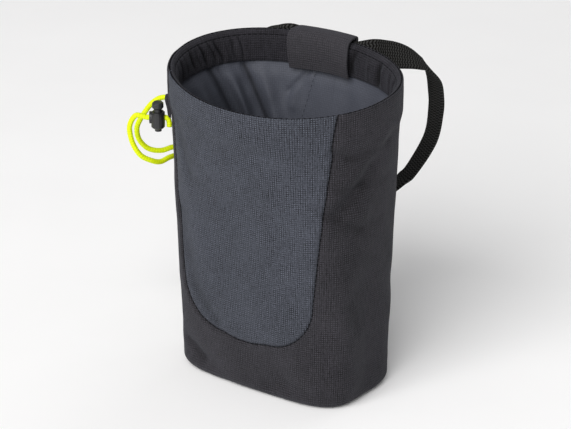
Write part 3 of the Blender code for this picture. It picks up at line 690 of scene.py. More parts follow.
def panel_half(sizes, z, side=1.0):
    """How far the panel's edge stands from its middle at a height. The -X edge, side -1,
    runs closer to it higher up."""
    half = sizes.panel_low + panel_slope(sizes) * (z - sizes.panel_bottom)
    rise = step_smooth((z - sizes.panel_bottom - sizes.panel_corner) / (sizes.height / 2))
    return half - sizes.panel_nearer * rise * (np.asarray(side) < 0)


def panel_foot(sizes, count=60):
    """The panel's lower edge: x and z from its middle to where its side begins."""
    radius = sizes.panel_corner
    corner = sizes.panel_low + panel_slope(sizes) * radius - radius
    floor = sizes.panel_bottom + sizes.panel_sag
    x = np.linspace(0, corner, count)
    z = floor - sizes.panel_sag * (1 - (x / corner) ** 2)
    turn = np.linspace(math.pi / 2, 0, count)[1:]
    x = np.concatenate([x, corner + radius * np.cos(turn)])
    z = np.concatenate([z, floor + radius - radius * np.sin(turn)])
    return x, z


def panel_columns(sizes, count):
    """Places across the panel from -1 to 1, closer near its edges, and its foot's height there."""
    even = np.linspace(-1, 1, count)
    across = 0.5 * even + 0.5 * np.sin(even * math.pi / 2)
    x, z = panel_foot(sizes)
    share = x / panel_half(sizes, z)
    share = share / share[-1]
    return across, np.interp(np.abs(across), share, z)


def seam_line(sizes):
    """The panel's outline seen from the front, as x and z in metres."""
    x, z = panel_foot(sizes)
    up = np.linspace(z[-1], sizes.height * 1.05, 14)[1:]
    foot = np.stack([x, z], 1)
    right = np.vstack([foot, np.stack([panel_half(sizes, up), up], 1)])
    left = np.vstack([foot * (-1, 1), np.stack([-panel_half(sizes, up, -1.0), up], 1)])
    return np.vstack([left[::-1], right[1:]])


def distance_to_line(points, line):
    """Distance in x and z from each point to a line of points."""
    flat = points.reshape(-1, 3)[:, (0, 2)]
    best = np.full(len(flat), 1.0)
    for a, b in zip(line[:-1], line[1:]):
        run = b - a
        t = np.clip(((flat - a) @ run) / (run @ run), 0, 1)
        gap = flat - a - t[:, None] * run
        best = np.minimum(best, np.hypot(gap[:, 0], gap[:, 1]))
    return best.reshape(points.shape[:-1])


def on_seam(place, line):
    return float(distance_to_line(np.array(place)[None, :], line)[0]) < SEAM_REACH


def towards_middle(place):
    return Vector((-place.x * 0.2, -place.y, 0)).normalized()


def dress_wall(wall, share, height, inset, raised):
    """The cloth's surface with its dents, lumps and seam grooves, and the shade painted in its
    creases and along its seam. The seam's allowance raises it by that share."""
    s = wall.s
    points = wall.place(share, height, inset)
    out = wall.out(share, height)
    depth = wall.dents(share, height) + lumps(points, WALL_LUMPS)
    near = distance_to_line(points, seam_line(s))
    near = np.where(points[..., 1] < 0, near, 1.0)
    depth = depth + lumps(points, SEAM_PUCKER) * bell(near, PUCKER_REACH)
    depth = depth + s.seam_depth * bell(near, s.seam_width)
    depth = depth - raised * ALLOWANCE_RISE * bell(near - ALLOWANCE_AT, ALLOWANCE_WIDTH)
    # Painted shade: darker in the creases and along the seam.
    creased = wall.creased(CREASES, share, height) / CREASE_DEPTH
    folded = CREASE_SHADE * np.clip(creased, 0.0, 1.0) + SEAM_SHADE * bell(near, SEAM_DARK)
    folded = np.minimum(folded, 1.0)
    return points - out * depth[..., None], folded


def cloth_uv(wall, share, height):
    return np.stack([share * wall.girth_at(CLOTH_LEVEL), height], -1)


class ShareTable:
    """Shares of the girth where the front wall has a given x, read quickly for many places."""

    def __init__(self, wall):
        self.wall = wall
        self.heights = np.linspace(-0.001, wall.s.height * 1.03, 90)
        self.across = np.linspace(-1, 1, 201)
        rows = []
        for height in self.heights:
            shares = np.linspace(-0.25, 0.25, 1001)
            level = np.full_like(shares, max(height, 0) / wall.s.height)
            x = wall.read(wall.x, shares, level)
            world = height + wall.rise(0.12 * self.across, level[0])
            wanted = self.across * panel_half(wall.s, world, self.across)
            rows.append(np.interp(wanted, x, shares))
        self.table = np.array(rows)

    def at(self, across, height):
        rows, columns = self.table.shape
        across, height = np.broadcast_arrays(across, height)
        low, high = self.heights[0], self.heights[-1]
        row = np.clip((height - low) / (high - low) * (rows - 1), 0, rows - 1.001)
        column = np.clip((across + 1) / 2 * (columns - 1), 0, columns - 1.001)
        return between_cells(self.table, row, column)


# Materials


class Shader:
    """A short way to wire one Principled material."""

    def __init__(self, name, roughness=0.8, specular=0.18):
        self.material = bpy.data.materials.new(name)
        self.material.use_nodes = True
        self.tree = self.material.node_tree
        self.shader = self.tree.nodes["Principled BSDF"]
        self.shader.inputs["Roughness"].default_value = roughness
        self.shader.inputs["Specular IOR Level"].default_value = specular

    def node(self, kind, **values):
        made = self.tree.nodes.new(kind)
        for key, value in values.items():
            setattr(made, key, value)
        return made

    def wire(self, value, socket):
        if isinstance(value, bpy.types.NodeSocket):
            self.tree.links.new(value, socket)
        else:
            socket.default_value = value

    def sum(self, kind, a, b=0.0, c=0.0):
        made = self.node("ShaderNodeMath", operation=kind)
        for value, socket in zip((a, b, c), made.inputs):
            self.wire(value, socket)
        return made.outputs[0]

    def place(self, scale, use_uv=True):
        source = (
            self.node("ShaderNodeUVMap", uv_map="cloth").outputs["UV"]
            if use_uv
            else self.node("ShaderNodeTexCoord").outputs["Object"]
        )
        mapping = self.node("ShaderNodeMapping")
        self.wire(source, mapping.inputs["Vector"])
        mapping.inputs["Scale"].default_value = scale
        return mapping.outputs["Vector"]

    def along_and_across(self, scale=1.0):
        """Where a point of the cloth lies along and across it."""
        made = self.node("ShaderNodeSeparateXYZ")
        self.wire(self.place((scale,) * 3), made.inputs[0])
        return made.outputs["X"], made.outputs["Y"]

    def noise(self, scale, detail=2.0, use_uv=True):
        made = self.node("ShaderNodeTexNoise")
        self.wire(self.place(scale, use_uv), made.inputs["Vector"])
        made.inputs["Scale"].default_value = 1.0
        made.inputs["Detail"].default_value = detail
        return made.outputs["Fac"]

    def solid_noise(self, scale, detail=2.0):
        return self.noise((scale,) * 3, detail, use_uv=False)

    def spread(self, value, low, high, to_low=0.0, to_high=1.0):
        made = self.node("ShaderNodeMapRange")
        self.wire(value, made.inputs["Value"])
        pairs = (("From Min", low), ("From Max", high), ("To Min", to_low), ("To Max", to_high))
        for key, number in pairs:
            made.inputs[key].default_value = number
        return made.outputs["Result"]

    def mottle(self, noise, to_low, to_high):
        """Noise spread evenly between two values."""
        return self.spread(noise, 0.3, 0.7, to_low, to_high)

    def paint(self, colour, factor):
        """The colour times a factor, with shade painted deep in the folds, into the base colour.
        """
        # Painted shade: the fold attribute darkens the colour down to 0.3 of it.
        fold = self.node("ShaderNodeAttribute", attribute_name="fold").outputs["Fac"]
        open_share = self.spread(fold, 0.0, 1.0, 1.0, 0.30)
        factor = self.sum("MULTIPLY", factor, open_share)
        made = self.node("ShaderNodeVectorMath", operation="SCALE")
        made.inputs[0].default_value = colour
        self.wire(factor, made.inputs["Scale"])
        self.tree.links.new(made.outputs[0], self.shader.inputs["Base Color"])

    def bump(self, height, distance, strength=1.0):
        made = self.node("ShaderNodeBump")
        made.inputs["Distance"].default_value = distance
        made.inputs["Strength"].default_value = strength
        self.wire(height, made.inputs["Height"])
        self.tree.links.new(made.outputs[0], self.shader.inputs["Normal"])

    def sheen(self, weight, roughness, colour):
        self.shader.inputs["Sheen Weight"].default_value = weight
        self.shader.inputs["Sheen Roughness"].default_value = roughness
        self.shader.inputs["Sheen Tint"].default_value = (*colour, 1)


def weave(shader, pitch):
    """Raised dots of a plain weave, 0 to 1, at that pitch in metres."""
    across, up = shader.along_and_across(math.pi / pitch)
    both = shader.sum("MULTIPLY", shader.sum("SINE", across), shader.sum("SINE", up))
    return shader.sum("MULTIPLY", both, both)


def woven_material(name, colour, pitch, slub, speck, patches, depth):
    """Melange woven cloth: threads, slubs along both ways, specks and broad patches."""
    shader = Shader(name, roughness=0.82)
    threads = weave(shader, pitch)
    up = shader.spread(shader.noise((1500, 150, 1), 2.0), 0.32, 0.72, -1, 1.2)
    along = shader.spread(shader.noise((170, 1500, 1), 2.0), 0.32, 0.72, -1, 1.2)
    dots = shader.mottle(shader.noise((1100, 1100, 1), 1.0), -1, 1)
    uneven = shader.spread(shader.noise((420, 130, 1), 2.0), 0.38, 0.62, 0.25, 1.45)
    broad = shader.mottle(shader.noise((38, 30, 1), 3.0), -1, 1)
    value = shader.sum("MULTIPLY_ADD", up, slub, 1.0)
    value = shader.sum("MULTIPLY_ADD", along, slub * 0.7, value)
    value = shader.sum("MULTIPLY_ADD", dots, speck * 0.26, value)
    value = shader.sum("MULTIPLY_ADD", broad, patches, value)
    shade = shader.spread(threads, 0.0, 1.0, -speck / 3, speck)
    value = shader.sum("MULTIPLY_ADD", shade, uneven, value)
    shader.paint(colour, shader.sum("MAXIMUM", value, 0.2))
    height = shader.sum("MULTIPLY_ADD", up, 0.35, threads)
    height = shader.sum("MULTIPLY_ADD", dots, 0.35, height)
    shader.bump(height, depth)
    shader.sheen(0.05, 0.5, (0.8, 0.85, 1.0))
    return shader.material


def satin_material(name, colour):
    """The lining's smooth fine cloth."""
    shader = Shader(name, roughness=0.55)
    threads = weave(shader, SATIN_PITCH)
    broad = shader.mottle(shader.noise((60, 45, 1), 3.0), -1, 1)
    fine = shader.mottle(shader.noise((1200, 1100, 1), 1.0), -1, 1)
    value = shader.sum("MULTIPLY_ADD", broad, 0.08, 1.0)
    value = shader.sum("MULTIPLY_ADD", fine, 0.10, value)
    value = shader.sum("ADD", value, shader.spread(threads, 0, 1, -0.07, 0.20))
    shader.paint(colour, value)
    shader.bump(shader.sum("MULTIPLY_ADD", fine, 0.3, threads), 0.00006)
    shader.sheen(0.08, 0.35, (0.85, 0.9, 1.0))
    return shader.material


def webbing_material(name, colour):
    """Ribbed webbing: short ribs in columns, with a firm edge on each side. Light is painted
    on the ribs and shade in the grooves between them.
    """
    shader = Shader(name, roughness=0.75, specular=0.05)
    along, across = shader.along_and_across()
    column = shader.sum("MULTIPLY", across, math.pi / WEBBING_COLUMN)
    lean = shader.sum("PINGPONG", across, WEBBING_COLUMN)
    slant = shader.sum("MULTIPLY_ADD", lean, 0.5, along)
    rib = shader.sum("SINE", shader.sum("MULTIPLY", slant, 2 * math.pi / WEBBING_RIB))
    groove = shader.sum("ABSOLUTE", shader.sum("SINE", column))
    rib = shader.spread(rib, -1, 1, 0, 1)
    height = shader.sum("MULTIPLY", shader.sum("POWER", groove, 0.4), rib)
    fibre = shader.noise((2500, 2500, 1), 1.0)
    # Painted light and shade: the colour runs from dark in the grooves to bright on the ribs,
    # following their height.
    value = shader.spread(height, 0, 1, 0.10, 3.4)
    value = shader.sum("MULTIPLY", value, shader.mottle(fibre, 0.85, 1.15))
    shader.paint(colour, value)
    shader.bump(height, 0.00022)
    return shader.material


def braid_material(name, colour, diameter):
    """A braided sheath: two sets of strands crossing at a slant."""
    shader = Shader(name, roughness=0.55)
    along, around = shader.along_and_across()
    along = shader.sum("MULTIPLY", along, 2 * math.pi / BRAID_PITCH)
    around = shader.sum("MULTIPLY", around, 2 * math.pi * BRAID_STRANDS)
    one = shader.sum("SINE", shader.sum("ADD", along, around))
    two = shader.sum("SINE", shader.sum("SUBTRACT", along, around))
    strands = shader.spread(shader.sum("MULTIPLY", one, two), -1, 1, 0, 1)
    value = shader.spread(strands, 0, 1, 0.80, 1.08)
    fibre = shader.noise((1800, 9, 1), 1.0)
    value = shader.sum("MULTIPLY", value, shader.mottle(fibre, 0.9, 1.1))
    shader.paint(colour, value)
    shader.bump(strands, diameter * 0.05)
    # Painted glow standing in for the cord's fluorescence: it emits a little of its own colour.
    shader.shader.inputs["Emission Color"].default_value = (*colour, 1)
    shader.shader.inputs["Emission Strength"].default_value = 0.12
    return shader.material


def moulded_material(name, colour, roughness=0.42):
    """Injection moulded plastic with a fine spark grain and rubbed patches."""
    shader = Shader(name, roughness, specular=0.5)
    rubbed = shader.solid_noise(160)
    shader.paint(colour, shader.mottle(rubbed, 0.85, 1.35))
    gloss = shader.mottle(rubbed, roughness - 0.1, roughness + 0.12)
    shader.wire(gloss, shader.shader.inputs["Roughness"])
    shader.bump(shader.solid_noise(2600), 0.00003)
    return shader.material


def thread_material(name, colour):
    shader = Shader(name, roughness=0.9, specular=0.05)
    twist = shader.solid_noise(3000, 1.0)
    shader.paint(colour, shader.mottle(twist, 0.7, 1.4))
    shader.bump(twist, 0.00004)
    return shader.material


def material_once(name, make, *values):
    return bpy.data.materials.get(name) or make(name, *values)


def woven_cloth(name, colours):
    dye, *weave_values = CLOTHS[name]
    return material_once(name, woven_material, getattr(colours, dye), *weave_values)


def mould(names, colours):
    """Gives solids of these names the moulded plastic, and hands them back."""
    plastic = material_once("moulded_black", moulded_material, colours.plastic)
    nodes = [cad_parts[name] for name in names]
    for node in nodes:
        node.data.materials.clear()
        node.data.materials.append(plastic)
    return nodes


def stitch_row(name, points, outs, sizes, colours, lift=0.0, thick=1.0):
    """Separate stitches along a line, each a small bead that dips in at both ends."""
    points, outs = np.array(points), np.array(outs)
    along = distance_along(points)
    count = max(1, int(along[-1] / (sizes.stitch * STITCH_PITCH)))
    shape = bmesh.new()
    radius = sizes.thread / 2 * thick

    def read(at, table):
        return np.array([np.interp(at, along, table[:, k]) for k in range(3)])

    for n in range(count):
        start = (n + 0.1) * along[-1] / count
        rings = []
        for share, size, height in STITCH_PROFILE:
            at = start + share * sizes.stitch
            out = read(at, outs)
            out = out / np.linalg.norm(out)
            middle = read(at, points) + out * (height * radius + lift)
            run = read(at + 1e-4, points) - read(at - 1e-4, points)
            run = run / (np.linalg.norm(run) + 1e-12)
            side = np.cross(run, out)
            ring = []
            for k in range(STITCH_SIDES):
                turn = 2 * math.pi * k / STITCH_SIDES
                offset = side * math.cos(turn) + out * math.sin(turn)
                ring.append(shape.verts.new(middle + offset * radius * size))
            rings.append(ring)
        for low, high in zip(rings, rings[1:]):
            for k in range(STITCH_SIDES):
                m = (k + 1) % STITCH_SIDES
                shape.faces.new((low[k], high[k], high[m], low[m]))
        shape.faces.new(rings[0])
        shape.faces.new(rings[-1][::-1])
    mesh = bpy.data.meshes.new(name)
    shape.to_mesh(mesh)
    shape.free()
    mesh.shade_smooth()
    thread = material_once("sewing_thread", thread_material, colours.seam)
    return add_piece(name, mesh, thread)


# Operators


def parts(context):
    scene = context.scene
    return scene.chalk_bag_sizes, scene.chalk_bag_colours, scene.chalk_bag_stage


class CHALKBAG_OT_stage(bpy.types.Operator):
    """Adds the camera, the soft lights and the pale floor"""

    bl_idname = "chalkbag.stage"
    bl_label = "Stage"

    def execute(self, context):
        _, _, stage = parts(context)
        scene = context.scene
        aim = Vector(AIM)
        flat = math.cos(stage.elevation)
        back = Vector((
            math.sin(stage.azimuth) * flat,
            -math.cos(stage.azimuth) * flat,
            math.sin(stage.elevation),
        ))
        camera = bpy.data.objects.new("camera", bpy.data.cameras.new("camera"))
        scene.collection.objects.link(camera)
        camera.location = aim + back * stage.distance
        camera.rotation_euler = back.to_track_quat("Z", "Y").to_euler()
        camera.data.lens = stage.lens
        camera.data.sensor_width = 36.0
        camera.data.shift_x = stage.shift_x
        camera.data.shift_y = stage.shift_y
        camera.data.clip_start = 0.01
        scene.camera = camera
        for name, place, size, colour in LIGHTS:
            light = bpy.data.lights.new(name + "_light", "AREA")
            light.energy, light.size, light.color = getattr(stage, name), size, colour
            lamp = bpy.data.objects.new(name + "_light", light)
            scene.collection.objects.link(lamp)
            lamp.location = place
            lamp.rotation_euler = (Vector(place) - aim).to_track_quat("Z", "Y").to_euler()
        world = bpy.data.worlds.new("studio")
        world.use_nodes = True
        background = world.node_tree.nodes["Background"]
        background.inputs["Color"].default_value = (1, 1, 1, 1)
        background.inputs["Strength"].default_value = stage.sky
        scene.world = world
        scene.view_settings.view_transform = "Standard"
        self.floor(scene, stage)
        return {"FINISHED"}

    def floor(self, scene, stage):
        shader = Shader("paper_floor", roughness=0.9)
        shader.paint(stage.floor, shader.mottle(shader.solid_noise(9, 3), 0.99, 1.01))
        mesh = bpy.data.meshes.new("floor")
        half = FLOOR_HALF
        corners = [(-half, -half, 0), (half, -half, 0), (half, half, 0), (-half, half, 0)]
        mesh.from_pydata(corners, [], [(0, 1, 2, 3)])
        mesh.materials.append(shader.material)
        floor = bpy.data.objects.new("floor", mesh)
        scene.collection.objects.link(floor)


class CHALKBAG_OT_draw_cord(bpy.types.Operator):
    """Lays the braided draw cord and gives its lock moulded plastic"""

    bl_idname = "chalkbag.draw_cord"
    bl_label = "Draw cord and lock"

    def execute(self, context):
        sizes, colours, _ = parts(context)
        path = smooth_path(CORD_ROUTE, CORD_ROWS)
        along = distance_along(path)
        turns = np.linspace(0, 1, CORD_SIDES + 1)[:, None]
        cosine, sine = np.cos(2 * math.pi * turns), np.sin(2 * math.pi * turns)
        out = np.array((0.0, 0.0, 1.0))
        points, uv = [], []
        for middle, run, far in zip(path, directions(path), along):
            out = square_to(run, out)
            ring = out * cosine + np.cross(run, out) * sine
            points.append(middle + ring * sizes.cord / 2)
            uv.append(np.hstack([np.full_like(turns, far), turns]))
        mesh = mesh_from_grids("draw_cord_braid", [(np.array(points), np.array(uv))])
        self.cap(mesh)
        cloth = braid_material("braided_sheath", colours.cord, sizes.cord)
        cord = add_piece("draw_cord_braid", mesh, cloth, "draw_cord")
        lock = mould(("lock_barrel", "lock_button"), colours)
        return {"FINISHED"}

    def cap(self, mesh):
        shape = bmesh.new()
        shape.from_mesh(mesh)
        edges = [e for e in shape.edges if e.is_boundary]
        bmesh.ops.holes_fill(shape, edges=edges)
        bmesh.ops.recalc_face_normals(shape, faces=shape.faces)
        shape.to_mesh(mesh)
        shape.free()


class CHALKBAG_OT_shell(bpy.types.Operator):
    """Makes the charcoal cloth of the sides, back and foot, and the base"""

    bl_idname = "chalkbag.shell"
    bl_label = "Shell"

    def execute(self, context):
        sizes, colours, stage = parts(context)
        wall = Wall(sizes)
        table = ShareTable(wall)
        across, foot = panel_columns(sizes, stage.mesh_fineness)
        side_count = int(stage.mesh_fineness * 1.1)
        ease = 0.6 * np.linspace(0, 1, side_count) + 0.4 * np.linspace(0, 1, side_count) ** 2
        corner = foot[-1]
        turns = np.linspace(0, math.pi / 2, 12)
        edge_heights = sizes.base_edge * (1 - np.cos(turns))
        edge_insets = sizes.base_edge * (1 - np.sin(turns))
        under = sizes.base_edge + sizes.wall * 1.5
        edge_heights = np.concatenate([[0.0, 0.0], edge_heights[1:]])
        edge_insets = np.concatenate([[under, sizes.base_edge], edge_insets[1:]])
        rows = 1 - (1 - np.linspace(0, 1, SHELL_LOW_ROWS)[1:]) ** 1.3
        sides = np.full(side_count, corner)
        top_foot = np.concatenate([sides, foot[1:-1], sides])
        low_heights = [np.full_like(top_foot, h) for h in edge_heights]
        low_insets = [np.full_like(top_foot, i) for i in edge_insets]
        for row in rows:
            low_heights.append(sizes.base_edge + (top_foot - sizes.base_edge) * row)
            low_insets.append(np.zeros_like(top_foot))
        low_heights, low_insets = np.array(low_heights), np.array(low_insets)
        low_shares = self.shares(table, across, ease, low_heights)
        upper = np.linspace(corner, sizes.height - RIM_ROLL[0][0], SHELL_SIDE_ROWS)
        roll = np.array(RIM_ROLL)
        side_heights = np.concatenate([upper, sizes.height - roll[1:, 0]])
        side_insets = np.concatenate([np.zeros_like(upper), roll[1:, 1]])
        grids = [self.grid(wall, low_shares, low_heights, low_insets)]
        height = np.repeat(side_heights[:, None], side_count, 1)
        inset = np.repeat(side_insets[:, None], side_count, 1)
        for share in self.side_shares(table, ease, side_heights):
            grids.append(self.grid(wall, share, height, inset))
        mesh = mesh_from_grids("shell_cloth", grids, merge=5e-5)
        self.hem_seam(mesh, wall)
        cloth = woven_cloth("charcoal_cloth", colours)
        add_piece("shell_cloth", mesh, cloth, "body_shell")
        self.base(wall, cloth)
        return {"FINISHED"}

    def side_shares(self, table, ease, heights):
        """The columns from the back to the panel's -X edge, and from its +X edge to the back."""
        left = table.at(np.full(len(heights), -1.0), heights)[:, None]
        right = table.at(np.full(len(heights), 1.0), heights)[:, None]
        return left + (-0.5 - left) * ease[::-1], right + (0.5 - right) * ease

    def shares(self, table, across, ease, heights):
        back_left, back_right = self.side_shares(table, ease, heights[:, 0])
        count = len(ease)
        front = table.at(across[None, 1:-1], heights[:, count:-count])
        return np.concatenate([back_left, front, back_right], 1)

    def grid(self, wall, share, height, inset):
        points, folded = dress_wall(wall, share, height, inset, 1.0)
        points[..., 2] = np.maximum(points[..., 2], 0.0002 * (inset < wall.s.base_edge))
        return points, cloth_uv(wall, share, height + inset * 0.5), folded

    def hem_seam(self, mesh, wall):
        line = seam_line(wall.s)
        lowest = wall.s.panel_bottom * 0.8

        def chosen(place):
            return place.y <= 0 and place.z >= lowest and on_seam(place, line)

        hem(mesh, chosen, towards_middle, SHELL_HEM)

    def base(self, wall, cloth):
        """The oval under the bag, with a welt round it."""
        s = wall.s
        shares = np.linspace(-0.5, 0.5, 161)
        welt = 0.0003
        edge = s.base_edge + s.wall * 1.5 + welt
        rings = ((edge, 0.0016), (edge, 0.0006), (edge + welt, 0.0001), (edge + 0.001, 0.0))
        rows = []
        for inset, height in rings:
            ring = wall.place(shares, np.zeros_like(shares), inset)
            ring[:, 2] = height
            rows.append(ring)
        rows += [ring * (shrink, shrink, 1) for shrink in (0.9, 0.6, 0.3, 0.02)]
        points = np.array(rows)
        mesh = mesh_from_grids("base_cloth", [(points, points[..., :2])], merge=5e-5)
        add_piece("base_cloth", mesh, cloth, "base_panel")


class CHALKBAG_OT_front_panel(bpy.types.Operator):
    """Makes the slate front panel"""

    bl_idname = "chalkbag.front_panel"
    bl_label = "Front panel"

    def execute(self, context):
        sizes, colours, stage = parts(context)
        wall = Wall(sizes)
        table = ShareTable(wall)
        across, foot = panel_columns(sizes, stage.mesh_fineness)
        rows = np.linspace(0, 1, PANEL_ROWS)
        rows = 0.75 * rows + 0.25 * rows**2
        roll = np.array(RIM_ROLL)
        top = sizes.height - roll[0, 0]
        height = foot[None, :] + (top - foot[None, :]) * rows[:, None]
        inset = np.zeros_like(height)
        height = np.vstack([height, np.repeat(sizes.height - roll[1:, :1], len(across), 1)])
        inset = np.vstack([inset, np.repeat(roll[1:, 1:], len(across), 1)])
        share = table.at(across[None, :] * np.ones((len(height), 1)), height)
        points, folded = dress_wall(wall, share, height, inset, -0.4)
        mesh = mesh_from_grids("front_cloth", [(points, cloth_uv(wall, share, height), folded)])
        line = seam_line(sizes)
        by_rim, reach = sizes.height - 0.012, 0.0012

        def chosen(place):
            if place.z > by_rim:
                return abs(place.x) > panel_half(sizes, place.z, place.x) - reach
            return on_seam(place, line)

        hem(mesh, chosen, towards_middle, PANEL_HEM)
        cloth = woven_cloth("slate_cloth", colours)
        add_piece("front_cloth", mesh, cloth, "front_panel")
        self.seam(wall, table, sizes, colours)
        return {"FINISHED"}

    def seam(self, wall, table, sizes, colours):
        """The dark line of thread that joins the panel to the sides."""
        x, z = panel_foot(sizes)
        side = np.linspace(z[-1], sizes.height - 0.0006, 80)[1:]
        across = np.concatenate([x / panel_half(sizes, z), np.ones(len(side))])
        height = np.concatenate([z, side])
        across = np.concatenate([-across[::-1], across[1:]])
        height = np.concatenate([height[::-1], height[1:]])
        share = table.at(across, height)
        points, _ = dress_wall(wall, share, height, np.zeros_like(height), 1.0)
        out = wall.out(share, height)
        stitch_row("seam_stitches", points, out, sizes, colours, 0.0002, 0.9)


class CHALKBAG_OT_lining(bpy.types.Operator):
    """Makes the folded lining"""

    bl_idname = "chalkbag.lining"
    bl_label = "Lining"

    def execute(self, context):
        sizes, colours, _ = parts(context)
        wall = Wall(sizes)
        slack = 0.0008
        gap = sizes.wall + slack
        shares = np.linspace(-0.5, 0.5, LINING_COLUMNS)
        turns = np.linspace(0, math.pi / 2, 10)
        radius = sizes.base_edge - gap * 0.5
        heights = gap + radius * (1 - np.cos(turns))
        insets = gap + radius * (1 - np.sin(turns))
        top = sizes.height - sizes.facing_depth + 0.0035
        upper = np.linspace(heights[-1], top, LINING_ROWS)[1:]
        heights = np.concatenate([heights, upper])
        insets = np.concatenate([insets, np.full_like(upper, gap)])
        share, height = np.meshgrid(shares, heights)
        inset = np.repeat(insets[:, None], len(shares), 1)
        points, folded = self.surface(wall, share, height, inset)
        bottom = np.array([points[0] * (shrink, shrink, 1) for shrink in BOTTOM_RINGS])
        bottom[..., 2] += lumps(bottom, LINING_FLOOR_LUMPS)
        points = np.concatenate([bottom, points])
        uv = cloth_uv(wall, share, height)
        bottom_uv = [uv[0] - (0, 0.01 * k) for k in range(len(bottom), 0, -1)]
        uv = np.concatenate([bottom_uv, uv])
        folded = np.concatenate([np.zeros(bottom.shape[:2]), folded])
        grid = (points[:, ::-1], uv[:, ::-1], folded[:, ::-1])
        mesh = mesh_from_grids("lining_cloth", [grid])
        cloth = satin_material("lining_satin", colours.lining)
        add_piece("lining_cloth", mesh, cloth, "lining")
        level = np.linspace(0.90, 0.30, 90)
        seam, _ = self.surface(wall, self.seam_share(level), level * sizes.height, gap)
        inward = -wall.out(self.seam_share(level), level * sizes.height)
        stitch_row("lining_stitches", seam, inward, sizes, colours, 0.0001, 0.6)
        return {"FINISHED"}

    def seam_share(self, level):
        return -0.463 + 0.123 * (0.888 - level)

    def surface(self, wall, share, height, inset):
        """The lining with its folds, and the shade painted deep in its valleys."""
        s = wall.s
        level = height / s.height
        points = wall.place(share, height, inset)
        ridges = [fold for fold in FOLDS if fold[-1] > 0]
        valleys = [fold for fold in FOLDS if fold[-1] < 0]
        full = step_smooth((s.height - s.facing_depth - height) / 0.020)
        fold = wall.creased(ridges, share, height) * (0.12 + 0.88 * full)
        deep = wall.creased(valleys, share, height)
        off = (share - self.seam_share(level)) * wall.girth_at(level)
        deep = deep - 0.0006 * bell(off, 0.0006)
        fold = fold + deep + lumps(points, LINING_LUMPS) * (0.3 + 0.7 * full)
        fold = fold + lumps(points, LINING_CRUMPLE)
        fold = fold * step_smooth(height / 0.020) + 0.0006 * step_smooth(level * 1.3)
        fold = np.maximum(fold, -0.0005) + np.maximum(wall.dents(share, height), 0.0)
        # Painted shade, darkest deep in the valleys.
        folded = np.clip(-deep / 0.0031, 0.0, 1.0) ** 1.8
        return points - wall.out(share, height) * np.asarray(fold)[..., None], folded


class CHALKBAG_OT_rim_band(bpy.types.Operator):
    """Makes the padded facing inside the rim, with its gathers and stitching"""

    bl_idname = "chalkbag.rim_band"
    bl_label = "Rim band"

    def execute(self, context):
        sizes, colours, _ = parts(context)
        wall = Wall(sizes)
        profile = smooth_path([(i, b, 0.0, g) for i, b, g in FACING], FACING_ROWS)
        shares = np.linspace(-0.5, 0.5, FACING_COLUMNS)
        share, inset = np.meshgrid(shares, profile[:, 0] * MM)
        below = np.repeat(profile[:, 1][:, None] * MM, len(shares), 1)
        gathered = np.repeat(profile[:, 3][:, None], len(shares), 1)
        down = np.clip(below / sizes.facing_depth, 0, 1)
        depth = np.zeros_like(share)
        girth = wall.girth_at(1.0)
        for top, low, half_width, reach in GATHERS:
            wander = 0.0012 * np.sin(down * 7 + top * 90)
            middle = top + (low - top) * down + wander
            off = (np.mod(share - middle + 0.5, 1.0) - 0.5) * girth
            depth += reach * MM * bell(off, half_width * MM)
        height = sizes.height - below
        points = wall.place(share, height, inset)
        depth = lumps(points, FACING_LUMPS) - depth
        seam_at_rim, seam_lean = -0.329, -0.015
        seam_share = seam_at_rim + seam_lean * (1 - (1 - down) ** 2)
        depth = depth - 0.0010 * bell((share - seam_share) * girth, 0.0006)
        depth = depth * gathered - 0.0003 * bell(below - STITCHING_BELOW, 0.0004)
        points = points - wall.out(share, height) * depth[..., None]
        along = distance_along(profile[:, :2]) * MM
        uv = np.stack([share * girth, np.repeat(along[:, None], len(shares), 1)], -1)
        # Painted shade in the gathers' grooves, along the stitching and on the roll over the
        # crest.
        folded = np.clip((-depth - 0.0002) / 0.0014, 0.0, 1.0)
        folded = folded + 0.6 * bell(below - STITCHING_BELOW, 0.0003)
        folded = folded + 0.9 * bell(inset - 0.00125, 0.0003)
        folded = np.minimum(folded, 1.0)
        mesh = mesh_from_grids("rim_facing", [(points, uv, folded)])
        cloth = woven_cloth("facing_cloth", colours)
        piece = add_piece("rim_facing", mesh, cloth, "rim_band")
        row = int(np.abs(below[:, 0] - STITCHING_BELOW).argmin())
        inward = -wall.out(share[row], height[row])
        stitch_row("rim_stitches", points[row], inward, sizes, colours)
        crest = wall.place(shares, np.full_like(shares, sizes.height), CREST_INSET)
        up = np.tile((0.0, 0.0, 1.0), (len(shares), 1))
        stitch_row("edge_stitches", crest, up, sizes, colours, -0.0001, 1.1)
        return {"FINISHED"}


